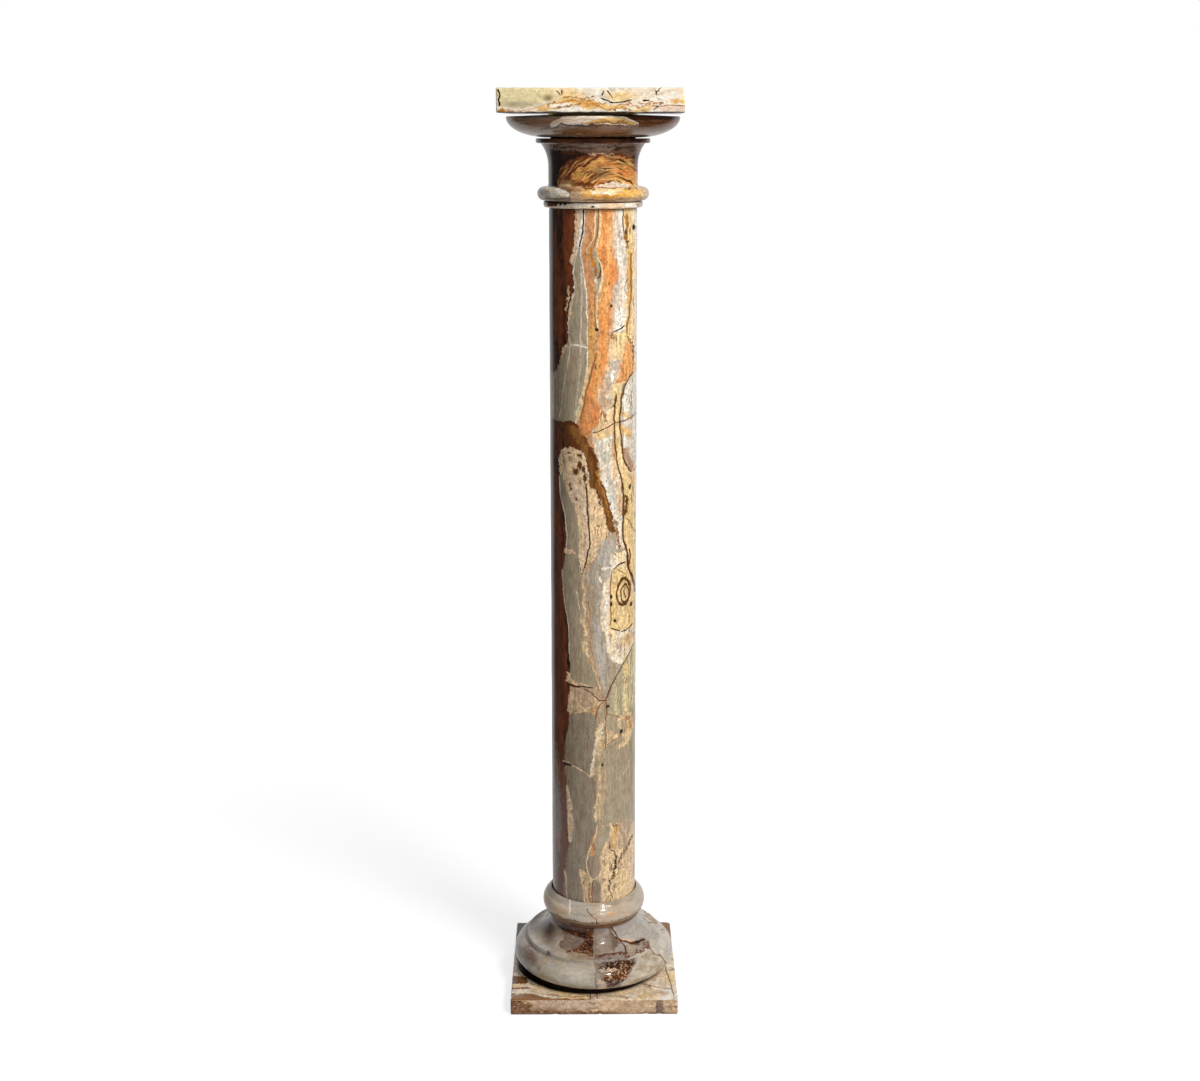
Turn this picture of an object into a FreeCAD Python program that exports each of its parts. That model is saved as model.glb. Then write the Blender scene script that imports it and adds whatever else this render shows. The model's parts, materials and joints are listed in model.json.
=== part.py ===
# Turned stone display column: square plinth, moulded base, tapered shaft, turned capital and a
# square top slab that turns on a pivot. A steel tie rod through the middle clamps the stones.
# The frame has +Z up and its origin on the floor, at the middle of the plinth's underside.
# Lengths are in millimetres and angles in degrees.
import FreeCAD, Part
import math
import os

# Square slabs
PLINTH_SIDE = 187.0
PLINTH_THICKNESS = 19.0
PLINTH_EDGE_RADIUS = 1.5
ABACUS_SIDE = 185.0
ABACUS_THICKNESS = 24.0
ABACUS_EDGE_RADIUS = 0.8
ABACUS_REST_TURN = -1.8

# Shaft
SHAFT_FOOT_RADIUS = 47.5
SHAFT_HEAD_RADIUS = 46.4
SHAFT_LENGTH = 785.2
SHAFT_CHAMFER = 0.8

# Collar that the shaft's foot stands in
SOCKET_CLEARANCE = 0.9
SOCKET_DEPTH = 20.0
COLLAR_LAND = 0.8
COLLAR_BEVEL_RUN = 4.9
COLLAR_BEVEL_HEIGHT = 6.0
COLLAR_ROUND_HEIGHT = 20.8
COLLAR_ROUND_DEPTH = 4.3
COLLAR_FOOT_INSET = 1.5
COLLAR_FOOT_HEIGHT = 3.4

# Base moulding, from the collar down: scotia, fillet, torus, set-back foot
SCOTIA_NECK_INSET = 2.2
SCOTIA_SECTION_RADIUS = 26.0
SCOTIA_LEDGE = 0.6
BASE_FILLET_HEIGHT = 6.0
TORUS_CORE_INSET = 1.5
TORUS_UPPER_RADIUS = 16.0
TORUS_LOWER_RADIUS = 9.5
BASE_FOOT_INSET = 12.0
BASE_FOOT_HEIGHT = 6.5

# Fillet disc between the shaft and the capital
NECK_FILLET_PROJECTION = 5.5
NECK_FILLET_HEIGHT = 6.0
NECK_FILLET_ROUNDING = 2.2

# Capital neck: astragal, cove, straight neck, flare, annulet
NECK_RADIUS = 46.7
ASTRAGAL_CORE_PROJECTION = 4.6
ASTRAGAL_SECTION_RADIUS = 7.2
NECK_COVE = 2.2
NECK_STRAIGHT_HEIGHT = 19.0
FLARE_HEIGHT = 22.5
FLARE_SPREAD = 7.8
ANNULET_PROJECTION = 5.0
ANNULET_HEIGHT = 4.8
ANNULET_CHAMFER = 0.7

# Echinus: a shallow bowl whose top rises from the rim to a flat seat
ECHINUS_FOOT_RADIUS = 46.0
ECHINUS_BOWL_SPREAD = 44.0
ECHINUS_BOWL_HEIGHT = 20.5
ECHINUS_RIM_LAND = 0.6
ECHINUS_CROWN = 1.8
SEAT_RADIUS = 48.0

# Tie rod, its washers and nuts
ROD_RADIUS = 6.0
ROD_CHAMFER = 0.8
ROD_END_INSET = 1.5
ROD_PAST_NUT = 1.0
ROD_SHOULDER_INSET = 0.5
STONE_BORE_CLEARANCE = 1.5
THREAD_CLEARANCE = 0.05
NUT_WALL = 3.0
NUT_CHAMFER_ANGLE = 30.0
LOWER_NUT_HEIGHT = 6.0
UPPER_NUT_HEIGHT = 10.0
WASHER_CLEARANCE = 0.5
WASHER_THICKNESS = 2.5
LOWER_WASHER_RADIUS = 18.5
UPPER_WASHER_RADIUS = 15.0
LOWER_RECESS_CLEARANCE = 1.5
UPPER_RECESS_CLEARANCE = 3.0

# Mastic beds between the stones
BED_THICKNESS = 0.8
BED_SETBACK = 2.0
BED_BORE_CLEARANCE = 4.5

# Pivot that the top slab turns on
PIVOT_SHOULDER = 1.0
PIVOT_CLEARANCE = 0.05
PIVOT_END_GAP = 1.0
BUSH_WALL = 2.95
BUSH_LENGTH = 13.0
BUSH_GLUE_GAP = 0.02
BUSH_END_GAP = 0.5
THRUST_WASHER_THICKNESS = 1.0
THRUST_WASHER_BORE_CLEARANCE = 2.0
THRUST_WASHER_SETBACK = 2.0

# Radii of the mouldings, worked out from the shaft outwards
SOCKET_RADIUS = SHAFT_FOOT_RADIUS + SOCKET_CLEARANCE
COLLAR_ARRIS_RADIUS = SOCKET_RADIUS + COLLAR_LAND + COLLAR_BEVEL_RUN
COLLAR_RADIUS = COLLAR_ARRIS_RADIUS + COLLAR_ROUND_DEPTH
COLLAR_FOOT_RADIUS = COLLAR_ARRIS_RADIUS - COLLAR_FOOT_INSET
SCOTIA_NECK_RADIUS = COLLAR_FOOT_RADIUS - SCOTIA_NECK_INSET
SCOTIA_RIM_RADIUS = SCOTIA_NECK_RADIUS + SCOTIA_SECTION_RADIUS
BASE_FILLET_RADIUS = SCOTIA_RIM_RADIUS + SCOTIA_LEDGE
TORUS_CORE_RADIUS = BASE_FILLET_RADIUS - TORUS_CORE_INSET
TORUS_RADIUS = TORUS_CORE_RADIUS + TORUS_UPPER_RADIUS
TORUS_UNDERSIDE_RADIUS = TORUS_RADIUS - TORUS_LOWER_RADIUS
BASE_FOOT_RADIUS = TORUS_UNDERSIDE_RADIUS - BASE_FOOT_INSET
NECK_FILLET_RADIUS = SHAFT_HEAD_RADIUS + NECK_FILLET_PROJECTION
ASTRAGAL_CORE_RADIUS = NECK_RADIUS + ASTRAGAL_CORE_PROJECTION
ASTRAGAL_RADIUS = ASTRAGAL_CORE_RADIUS + ASTRAGAL_SECTION_RADIUS
ANNULET_RADIUS = NECK_RADIUS + FLARE_SPREAD + ANNULET_PROJECTION
ECHINUS_RADIUS = ECHINUS_FOOT_RADIUS + ECHINUS_BOWL_SPREAD
STONE_BORE_RADIUS = ROD_RADIUS + STONE_BORE_CLEARANCE
BED_BORE_RADIUS = STONE_BORE_RADIUS + BED_BORE_CLEARANCE

# Heights of the joints, worked out from the floor up
PLINTH_TOP = PLINTH_THICKNESS
MOULDING_FOOT = PLINTH_TOP + BED_THICKNESS
TORUS_UNDERSIDE = MOULDING_FOOT + BASE_FOOT_HEIGHT
TORUS_MIDDLE = TORUS_UNDERSIDE + TORUS_LOWER_RADIUS
BASE_FILLET_TOP = TORUS_MIDDLE + TORUS_UPPER_RADIUS + BASE_FILLET_HEIGHT
MOULDING_TOP = BASE_FILLET_TOP + SCOTIA_SECTION_RADIUS
COLLAR_FOOT = MOULDING_TOP + BED_THICKNESS
COLLAR_TOP = COLLAR_FOOT + COLLAR_FOOT_HEIGHT + COLLAR_ROUND_HEIGHT + COLLAR_BEVEL_HEIGHT
SOCKET_FLOOR = COLLAR_TOP - SOCKET_DEPTH
SHAFT_FOOT = SOCKET_FLOOR + BED_THICKNESS
SHAFT_HEAD = SHAFT_FOOT + SHAFT_LENGTH
NECK_FILLET_FOOT = SHAFT_HEAD + BED_THICKNESS
NECK_FOOT = NECK_FILLET_FOOT + NECK_FILLET_HEIGHT + BED_THICKNESS
FLARE_FOOT = NECK_FOOT + 2 * ASTRAGAL_SECTION_RADIUS + NECK_COVE + NECK_STRAIGHT_HEIGHT
ANNULET_FOOT = FLARE_FOOT + FLARE_HEIGHT
ECHINUS_FOOT = ANNULET_FOOT + ANNULET_HEIGHT + BED_THICKNESS
ECHINUS_SEAT = ECHINUS_FOOT + ECHINUS_BOWL_HEIGHT + ECHINUS_RIM_LAND + ECHINUS_CROWN
ABACUS_FOOT = ECHINUS_SEAT + THRUST_WASHER_THICKNESS
OVERALL_HEIGHT = ABACUS_FOOT + ABACUS_THICKNESS

# Clamp and pivot, worked out from the two recesses
LOWER_RECESS_DEPTH = ROD_END_INSET + ROD_PAST_NUT + LOWER_NUT_HEIGHT + WASHER_THICKNESS
LOWER_RECESS_RADIUS = LOWER_WASHER_RADIUS + LOWER_RECESS_CLEARANCE
LOWER_WASHER_FOOT = LOWER_RECESS_DEPTH - WASHER_THICKNESS
LOWER_NUT_FOOT = LOWER_WASHER_FOOT - LOWER_NUT_HEIGHT
UPPER_RECESS_RADIUS = UPPER_WASHER_RADIUS + UPPER_RECESS_CLEARANCE
ROD_SHOULDER = ECHINUS_SEAT - ROD_SHOULDER_INSET
UPPER_NUT_FOOT = ROD_SHOULDER - ROD_PAST_NUT - UPPER_NUT_HEIGHT
UPPER_RECESS_FLOOR = UPPER_NUT_FOOT - WASHER_THICKNESS
PIVOT_RADIUS = ROD_RADIUS - PIVOT_SHOULDER
PIVOT_TOP = ABACUS_FOOT + BUSH_LENGTH - PIVOT_END_GAP
BUSH_BORE_RADIUS = PIVOT_RADIUS + PIVOT_CLEARANCE
BUSH_RADIUS = BUSH_BORE_RADIUS + BUSH_WALL
BUSH_HOLE_RADIUS = BUSH_RADIUS + BUSH_GLUE_GAP
BUSH_HOLE_DEPTH = BUSH_LENGTH + BUSH_END_GAP

AXIS_FOOT = FreeCAD.Vector(0, 0, 0)
UP = FreeCAD.Vector(0, 0, 1)
FULL_TURN = 360.0
HALF_ROOT = math.sqrt(0.5)


def point(radius, height):
    """A point of the half-plane that the turned pieces are drawn in."""
    return FreeCAD.Vector(radius, 0, height)


class Outline:
    """A turned piece's outline, drawn point by point as (radius, height)."""

    def __init__(self, radius, height):
        self.start = point(radius, height)
        self.here = self.start
        self.edges = []

    def line(self, radius, height):
        end = point(radius, height)
        self.edges.append(Part.LineSegment(self.here, end).toShape())
        self.here = end
        return self

    def arc(self, middle, end):
        middle, end = point(*middle), point(*end)
        self.edges.append(Part.Arc(self.here, middle, end).toShape())
        self.here = end
        return self

    def bowl(self, centre, spread, rise):
        """A quarter of an ellipse, from its foot under the centre out to its rim."""
        centre = point(*centre)
        rim = centre + point(spread, 0)
        foot = centre - point(0, rise)
        oval = Part.Ellipse(rim, foot, centre)
        self.edges.append(Part.ArcOfEllipse(oval, 0, math.pi / 2).toShape())
        self.here = rim
        return self

    def turned(self):
        self.line(self.start.x, self.start.z)
        wire = Part.Wire(Part.__sortEdges__(self.edges))
        return Part.Face(wire).revolve(AXIS_FOOT, UP, FULL_TURN)


def ring(inner, outer, foot, height):
    """A flat ring or washer."""
    top = foot + height
    return Outline(inner, foot).line(outer, foot).line(outer, top).line(inner, top).turned()


def eased_slab(side, thickness, foot, edge_radius):
    """A square slab centred on the axis, with every edge eased."""
    corner = FreeCAD.Vector(-side / 2, -side / 2, foot)
    slab = Part.makeBox(side, side, thickness, corner)
    return slab.makeFillet(edge_radius, slab.Edges)


def hole(radius, foot, depth):
    return Part.makeCylinder(radius, depth, point(0, foot))


def hex_nut(foot, height):
    """A hexagon nut with both faces chamfered, bored to run on the rod's thread."""
    flat_radius = ROD_RADIUS + NUT_WALL
    corner_radius = flat_radius / math.cos(math.pi / 6)
    corners = [
        FreeCAD.Vector(
            corner_radius * math.cos(math.pi / 3 * side),
            corner_radius * math.sin(math.pi / 3 * side),
            foot,
        )
        for side in range(6)
    ]
    prism = Part.Face(Part.makePolygon(corners + corners[:1])).extrude(UP * height)
    drop = (corner_radius - flat_radius) * math.tan(math.radians(NUT_CHAMFER_ANGLE))
    top = foot + height
    blank = (
        Outline(ROD_RADIUS + THREAD_CLEARANCE, foot)
        .line(flat_radius, foot)
        .line(corner_radius, foot + drop)
        .line(corner_radius, top - drop)
        .line(flat_radius, top)
        .line(ROD_RADIUS + THREAD_CLEARANCE, top)
        .turned()
    )
    return blank.common(prism).Solids[0]


# Stones

def plinth_slab():
    slab = eased_slab(PLINTH_SIDE, PLINTH_THICKNESS, 0, PLINTH_EDGE_RADIUS)
    slab = slab.cut(hole(STONE_BORE_RADIUS, 0, PLINTH_THICKNESS))
    return slab.cut(hole(LOWER_RECESS_RADIUS, 0, LOWER_RECESS_DEPTH)).Solids[0]


def base_moulding():
    lower_chord = TORUS_LOWER_RADIUS * HALF_ROOT
    upper_chord = TORUS_UPPER_RADIUS * HALF_ROOT
    scotia_chord = SCOTIA_SECTION_RADIUS * HALF_ROOT
    lower_middle = (TORUS_UNDERSIDE_RADIUS + lower_chord, TORUS_MIDDLE - lower_chord)
    upper_middle = (TORUS_CORE_RADIUS + upper_chord, TORUS_MIDDLE + upper_chord)
    scotia_middle = (SCOTIA_RIM_RADIUS - scotia_chord, MOULDING_TOP - scotia_chord)
    fillet_foot = TORUS_MIDDLE + math.sqrt(TORUS_UPPER_RADIUS**2 - TORUS_CORE_INSET**2)
    return (
        Outline(STONE_BORE_RADIUS, MOULDING_FOOT)
        .line(BASE_FOOT_RADIUS, MOULDING_FOOT)
        .line(BASE_FOOT_RADIUS, TORUS_UNDERSIDE)
        .line(TORUS_UNDERSIDE_RADIUS, TORUS_UNDERSIDE)
        .arc(lower_middle, (TORUS_RADIUS, TORUS_MIDDLE))
        .arc(upper_middle, (BASE_FILLET_RADIUS, fillet_foot))
        .line(BASE_FILLET_RADIUS, BASE_FILLET_TOP)
        .line(SCOTIA_RIM_RADIUS, BASE_FILLET_TOP)
        .arc(scotia_middle, (SCOTIA_NECK_RADIUS, MOULDING_TOP))
        .line(STONE_BORE_RADIUS, MOULDING_TOP)
        .turned()
    )


def base_collar():
    round_foot = COLLAR_FOOT + COLLAR_FOOT_HEIGHT
    round_top = round_foot + COLLAR_ROUND_HEIGHT
    return (
        Outline(STONE_BORE_RADIUS, COLLAR_FOOT)
        .line(COLLAR_FOOT_RADIUS, COLLAR_FOOT)
        .line(COLLAR_FOOT_RADIUS, round_foot)
        .line(COLLAR_ARRIS_RADIUS, round_foot)
        .arc((COLLAR_RADIUS, (round_foot + round_top) / 2), (COLLAR_ARRIS_RADIUS, round_top))
        .line(SOCKET_RADIUS + COLLAR_LAND, COLLAR_TOP)
        .line(SOCKET_RADIUS, COLLAR_TOP)
        .line(SOCKET_RADIUS, SOCKET_FLOOR)
        .line(STONE_BORE_RADIUS, SOCKET_FLOOR)
        .turned()
    )


def shaft():
    return (
        Outline(STONE_BORE_RADIUS, SHAFT_FOOT)
        .line(SHAFT_FOOT_RADIUS - SHAFT_CHAMFER, SHAFT_FOOT)
        .line(SHAFT_FOOT_RADIUS, SHAFT_FOOT + SHAFT_CHAMFER)
        .line(SHAFT_HEAD_RADIUS, SHAFT_HEAD - SHAFT_CHAMFER)
        .line(SHAFT_HEAD_RADIUS - SHAFT_CHAMFER, SHAFT_HEAD)
        .line(STONE_BORE_RADIUS, SHAFT_HEAD)
        .turned()
    )


def neck_fillet():
    top = NECK_FILLET_FOOT + NECK_FILLET_HEIGHT
    centre_radius = NECK_FILLET_RADIUS - NECK_FILLET_ROUNDING
    centre_height = NECK_FILLET_FOOT + NECK_FILLET_ROUNDING
    chord = NECK_FILLET_ROUNDING * HALF_ROOT
    return (
        Outline(STONE_BORE_RADIUS, NECK_FILLET_FOOT)
        .line(centre_radius, NECK_FILLET_FOOT)
        .arc((centre_radius + chord, centre_height - chord), (NECK_FILLET_RADIUS, centre_height))
        .line(NECK_FILLET_RADIUS, top)
        .line(STONE_BORE_RADIUS, top)
        .turned()
    )


def capital_neck():
    astragal_middle = NECK_FOOT + ASTRAGAL_SECTION_RADIUS
    astragal_top = NECK_FOOT + 2 * ASTRAGAL_SECTION_RADIUS
    cove_chord = NECK_COVE * (1 - HALF_ROOT)
    flare_radius = (FLARE_HEIGHT**2 + FLARE_SPREAD**2) / (2 * FLARE_SPREAD)
    half_turn = math.asin(FLARE_HEIGHT / flare_radius) / 2
    flare_middle = (
        NECK_RADIUS + flare_radius * (1 - math.cos(half_turn)),
        FLARE_FOOT + flare_radius * math.sin(half_turn),
    )
    top = ANNULET_FOOT + ANNULET_HEIGHT
    return (
        Outline(STONE_BORE_RADIUS, NECK_FOOT)
        .line(ASTRAGAL_CORE_RADIUS, NECK_FOOT)
        .arc((ASTRAGAL_RADIUS, astragal_middle), (ASTRAGAL_CORE_RADIUS, astragal_top))
        .line(NECK_RADIUS + NECK_COVE, astragal_top)
        .arc((NECK_RADIUS + cove_chord, astragal_top + cove_chord), (NECK_RADIUS, astragal_top + NECK_COVE))
        .line(NECK_RADIUS, FLARE_FOOT)
        .arc(flare_middle, (NECK_RADIUS + FLARE_SPREAD, ANNULET_FOOT))
        .line(ANNULET_RADIUS - ANNULET_CHAMFER, ANNULET_FOOT)
        .line(ANNULET_RADIUS, ANNULET_FOOT + ANNULET_CHAMFER)
        .line(ANNULET_RADIUS, top)
        .line(STONE_BORE_RADIUS, top)
        .turned()
    )


def echinus():
    rim = ECHINUS_FOOT + ECHINUS_BOWL_HEIGHT
    return (
        Outline(STONE_BORE_RADIUS, ECHINUS_FOOT)
        .line(ECHINUS_FOOT_RADIUS, ECHINUS_FOOT)
        .bowl((ECHINUS_FOOT_RADIUS, rim), ECHINUS_BOWL_SPREAD, ECHINUS_BOWL_HEIGHT)
        .line(ECHINUS_RADIUS, rim + ECHINUS_RIM_LAND)
        .line(SEAT_RADIUS, ECHINUS_SEAT)
        .line(UPPER_RECESS_RADIUS, ECHINUS_SEAT)
        .line(UPPER_RECESS_RADIUS, UPPER_RECESS_FLOOR)
        .line(STONE_BORE_RADIUS, UPPER_RECESS_FLOOR)
        .turned()
    )


def abacus_slab():
    slab = eased_slab(ABACUS_SIDE, ABACUS_THICKNESS, ABACUS_FOOT, ABACUS_EDGE_RADIUS)
    slab.rotate(AXIS_FOOT, UP, ABACUS_REST_TURN)
    return slab.cut(hole(BUSH_HOLE_RADIUS, ABACUS_FOOT, BUSH_HOLE_DEPTH)).Solids[0]


# Clamp and pivot

def tie_rod():
    return (
        Outline(0, ROD_END_INSET)
        .line(ROD_RADIUS - ROD_CHAMFER, ROD_END_INSET)
        .line(ROD_RADIUS, ROD_END_INSET + ROD_CHAMFER)
        .line(ROD_RADIUS, ROD_SHOULDER)
        .line(PIVOT_RADIUS, ROD_SHOULDER)
        .line(PIVOT_RADIUS, PIVOT_TOP - ROD_CHAMFER)
        .line(PIVOT_RADIUS - ROD_CHAMFER, PIVOT_TOP)
        .line(0, PIVOT_TOP)
        .turned()
    )


def washer(radius, foot):
    return ring(ROD_RADIUS + WASHER_CLEARANCE, radius, foot, WASHER_THICKNESS)


def pivot_bush():
    return ring(BUSH_BORE_RADIUS, BUSH_RADIUS, ABACUS_FOOT, BUSH_LENGTH)


def thrust_washer():
    inner = UPPER_RECESS_RADIUS + THRUST_WASHER_BORE_CLEARANCE
    outer = SEAT_RADIUS - THRUST_WASHER_SETBACK
    return ring(inner, outer, ECHINUS_SEAT, THRUST_WASHER_THICKNESS)


def mastic_bed(stone_radius, foot):
    """A thin mastic ring, set back from the edge of the smaller stone that it joins."""
    return ring(BED_BORE_RADIUS, stone_radius - BED_SETBACK, foot, BED_THICKNESS)


def pieces():
    return {
        "plinth_slab": plinth_slab(),
        "bed_plinth": mastic_bed(BASE_FOOT_RADIUS, PLINTH_TOP),
        "base_moulding": base_moulding(),
        "bed_collar": mastic_bed(SCOTIA_NECK_RADIUS, COLLAR_FOOT - BED_THICKNESS),
        "base_collar": base_collar(),
        "bed_shaft_foot": mastic_bed(SHAFT_FOOT_RADIUS - SHAFT_CHAMFER, SOCKET_FLOOR),
        "shaft": shaft(),
        "bed_shaft_head": mastic_bed(SHAFT_HEAD_RADIUS - SHAFT_CHAMFER, SHAFT_HEAD),
        "neck_fillet": neck_fillet(),
        "bed_neck": mastic_bed(NECK_FILLET_RADIUS, NECK_FOOT - BED_THICKNESS),
        "capital_neck": capital_neck(),
        "bed_echinus": mastic_bed(ECHINUS_FOOT_RADIUS, ECHINUS_FOOT - BED_THICKNESS),
        "echinus": echinus(),
        "thrust_washer": thrust_washer(),
        "abacus_slab": abacus_slab(),
        "pivot_bush": pivot_bush(),
        "tie_rod": tie_rod(),
        "lower_washer": washer(LOWER_WASHER_RADIUS, LOWER_WASHER_FOOT),
        "lower_nut": hex_nut(LOWER_NUT_FOOT, LOWER_NUT_HEIGHT),
        "upper_washer": washer(UPPER_WASHER_RADIUS, UPPER_RECESS_FLOOR),
        "upper_nut": hex_nut(UPPER_NUT_FOOT, UPPER_NUT_HEIGHT),
    }


def main():
    os.makedirs("parts", exist_ok=True)
    for name, solid in pieces().items():
        if not solid.isValid():
            raise ValueError(name + " is not a valid solid")
        solid.exportStep(os.path.join("parts", name + ".step"))
        box = solid.optimalBoundingBox()
        print(f"{name:15s} z {box.ZMin:8.2f} to {box.ZMax:8.2f}  volume {solid.Volume / 1000:9.1f} cm3")
    print(f"overall height {OVERALL_HEIGHT:.2f}")


main()
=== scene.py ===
import json
import math
import random

import bmesh
import bpy
import numpy as np
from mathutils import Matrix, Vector, noise


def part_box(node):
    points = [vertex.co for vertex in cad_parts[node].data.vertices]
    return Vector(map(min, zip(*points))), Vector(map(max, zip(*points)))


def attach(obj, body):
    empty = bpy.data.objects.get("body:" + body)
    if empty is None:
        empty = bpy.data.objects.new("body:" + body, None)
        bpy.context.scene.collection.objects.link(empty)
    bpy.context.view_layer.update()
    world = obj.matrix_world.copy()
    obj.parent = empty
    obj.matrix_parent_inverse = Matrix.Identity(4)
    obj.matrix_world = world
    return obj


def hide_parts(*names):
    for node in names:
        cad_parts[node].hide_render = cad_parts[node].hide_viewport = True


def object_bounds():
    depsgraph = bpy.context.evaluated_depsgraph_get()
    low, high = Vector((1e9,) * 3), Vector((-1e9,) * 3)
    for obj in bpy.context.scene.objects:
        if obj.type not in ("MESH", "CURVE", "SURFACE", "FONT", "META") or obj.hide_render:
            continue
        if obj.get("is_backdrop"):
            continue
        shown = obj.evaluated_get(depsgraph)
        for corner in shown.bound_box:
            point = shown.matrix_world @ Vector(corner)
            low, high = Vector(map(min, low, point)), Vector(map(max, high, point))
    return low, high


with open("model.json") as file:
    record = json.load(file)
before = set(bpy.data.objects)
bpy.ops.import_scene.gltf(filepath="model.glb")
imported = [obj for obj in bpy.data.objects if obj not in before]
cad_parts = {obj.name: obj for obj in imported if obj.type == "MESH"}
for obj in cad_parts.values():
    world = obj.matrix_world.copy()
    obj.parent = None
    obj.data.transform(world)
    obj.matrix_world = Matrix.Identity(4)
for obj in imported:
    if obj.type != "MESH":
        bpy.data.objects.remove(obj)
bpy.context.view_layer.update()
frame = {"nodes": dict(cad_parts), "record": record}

# Sizes in millimetres that the boxes of the frame do not give
MM = 0.001
STONE_BORE = 7.5
SHAFT_HEAD_RADIUS = 46.4
SHAFT_CHAMFER = 0.8
SOCKET_RADIUS = 48.4
SOCKET_DEPTH = 20.0
COLLAR_LAND = 0.8
COLLAR_BEVEL_HEIGHT = 6.0
COLLAR_ARRIS_RADIUS = 54.1
COLLAR_FOOT_INSET = 1.5
COLLAR_FOOT_HEIGHT = 3.4
TORUS_LOWER_RADIUS = 9.5
TORUS_UPPER_RADIUS = 16.0
TORUS_FOOT_INSET = 12.0
TORUS_FOOT_HEIGHT = 6.5
BASE_FILLET_INSET = 14.5
BASE_FILLET_HEIGHT = 6.0
SCOTIA_LEDGE = 0.6
NECK_FILLET_ROUNDING = 2.2
NECK_RADIUS = 46.7
ASTRAGAL_SECTION = 7.2
ASTRAGAL_CORE = 51.3
NECK_COVE = 2.2
NECK_STRAIGHT = 19.0
FLARE_SPREAD = 7.8
ANNULET_HEIGHT = 4.8
ANNULET_CHAMFER = 0.7
ECHINUS_FOOT_RADIUS = 46.0
ECHINUS_RIM_LAND = 0.6
ECHINUS_CROWN = 1.8
SEAT_RADIUS = 48.0
UPPER_RECESS_RADIUS = 18.0
UPPER_RECESS_DEPTH = 14.0
LOWER_RECESS_RADIUS = 20.0
LOWER_RECESS_DEPTH = 11.0
BUSH_HOLE_RADIUS = 8.02
BUSH_HOLE_DEPTH = 13.5
PLINTH_EDGE_RADIUS = 1.5
ABACUS_EDGE_RADIUS = 0.8
ABACUS_SIDE = 185.0
ABACUS_REST_TURN = -1.8

# How finely the pieces are meshed
AROUND = 256
STEP = 1.0
SHAFT_STEP = 2.0
SLAB_STEP = 2.5

# Wear of the stones: a slow wave left by polishing (mean, swing and waves per millimetre), and small chips
# along the edges, each as deep as a share of its size
TURNED_WAVE = (0.12, 0.2, 0.03)
SLAB_WAVE = (0.08, 0.14, 0.04)
CHIP_DEPTH = 0.35
SLAB_CHIP_DEPTH = 0.22
SLAB_CHIPS = 46
SLAB_CHIP_SIZES = (1.5, 4.0)
SLAB_CORE_INSET = 6
SLAB_CORE_HALF = 4

# Stone patterns, in millimetres: the lengths of the noises that shake edges and that cloud, streak and sway
# the stone, how far the streaks bend, and how far the coarse and the fine noise shake each kind of edge
COARSE_LENGTH = 11.0
FINE_LENGTH = 3.2
CLOUD_LENGTH = 14.0
STREAK_LENGTH = 6.0
SWAY_LENGTH = 60.0
STREAK_BEND = 8.0
EDGE_SHAKES = {"smooth": (1.4, 0.0), "clean": (1.8, 0.8), "ragged": (3.0, 3.6)}

# The width of a pale rim, how a stripe shuts at its ends (over what length, to what half width), how many
# rings a ringed dome has, and how far inside the torus's edge the painted shade at its foot lies
RIM_WIDTH = 1.1
STRIPE_END = 1.0
STRIPE_SHUT = -8.0
RING_COUNT = 6.0
PAINTED_SHADE_INSET = 10.5

# The camera that the photograph was taken with
CAMERA_PLACE = (-0.0064, -1.7731, 0.9622)
CAMERA_TILT = 13.92
CAMERA_TURN = 0.44
CAMERA_LENS = 50.0
CAMERA_SENSOR = 36.0

# The studio: how far the floor reaches in metres, how bright its parts are, and where its backdrop begins
FLOOR_REACH = 30.0
FLOOR_BOUNCE = 0.55
FILL_LIGHT = 0.15
PAPER_GLOW = 0.74
PAPER_SHADE = 0.45
PAPER_REACH = (0.4, 2.0)
NEAR_FLOOR = (0.8, 0.5)
DIM_ROOM = 0.1
BACKDROP = 0.7
BACKDROP_EDGE = (0.55, 0.8)


def extent(node):
    """Lowest and highest corner of a piece of the frame, in millimetres."""
    low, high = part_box(node)
    return Vector(low) / MM, Vector(high) / MM


# Shapes

class Outline:
    """A turned piece's outline as (radius, height) points, close together wherever it shows."""

    def __init__(self, radius, height, step=STEP):
        self.points = [(radius, height)]
        self.step = step

    def hidden(self, radius, height):
        """A straight run that no one sees, with no points along it."""
        self.points.append((radius, height))
        return self

    def line(self, radius, height):
        start = self.points[-1]
        count = max(1, round(math.dist(start, (radius, height)) / self.step))
        for i in range(1, count + 1):
            t = i / count
            self.points.append((start[0] + (radius - start[0]) * t, start[1] + (height - start[1]) * t))
        return self

    def arc(self, centre, across, rise, first, last):
        """Part of an ellipse about centre, from one angle in degrees to another."""
        length = math.radians(abs(last - first)) * max(across, rise)
        count = max(4, round(length / self.step))
        for i in range(1, count + 1):
            angle = math.radians(first + (last - first) * i / count)
            self.points.append((centre[0] + across * math.cos(angle), centre[1] + rise * math.sin(angle)))
        return self

    def eased(self, passes=2):
        """Worn arrises: each visible point moves towards the middle of its neighbours."""
        for _ in range(passes):
            worn = list(self.points)
            for i in range(1, len(worn) - 1):
                before, here, after = self.points[i - 1:i + 2]
                if max(math.dist(before, here), math.dist(here, after)) < 2 * self.step:
                    worn[i] = tuple(here[k] / 2 + (before[k] + after[k]) / 4 for k in (0, 1))
            self.points = worn
        return self


def polish_wave(places, mean, swing, rate, shift=Vector()):
    """How far the polish has taken each point inward, with so many waves per millimetre."""
    return np.array([max(0.0, mean + swing * noise.noise(Vector(p) * rate + shift)) for p in places])


def chipped(depth, places, chips, share):
    """Adds chips, each (middle, size), to the depths; a chip is as deep as a share of its size."""
    for centre, size in chips:
        gap = np.linalg.norm(places - np.array(centre), axis=1) / size
        depth += share * size * np.clip(1 - gap * gap, 0, 1)
    return depth


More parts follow.
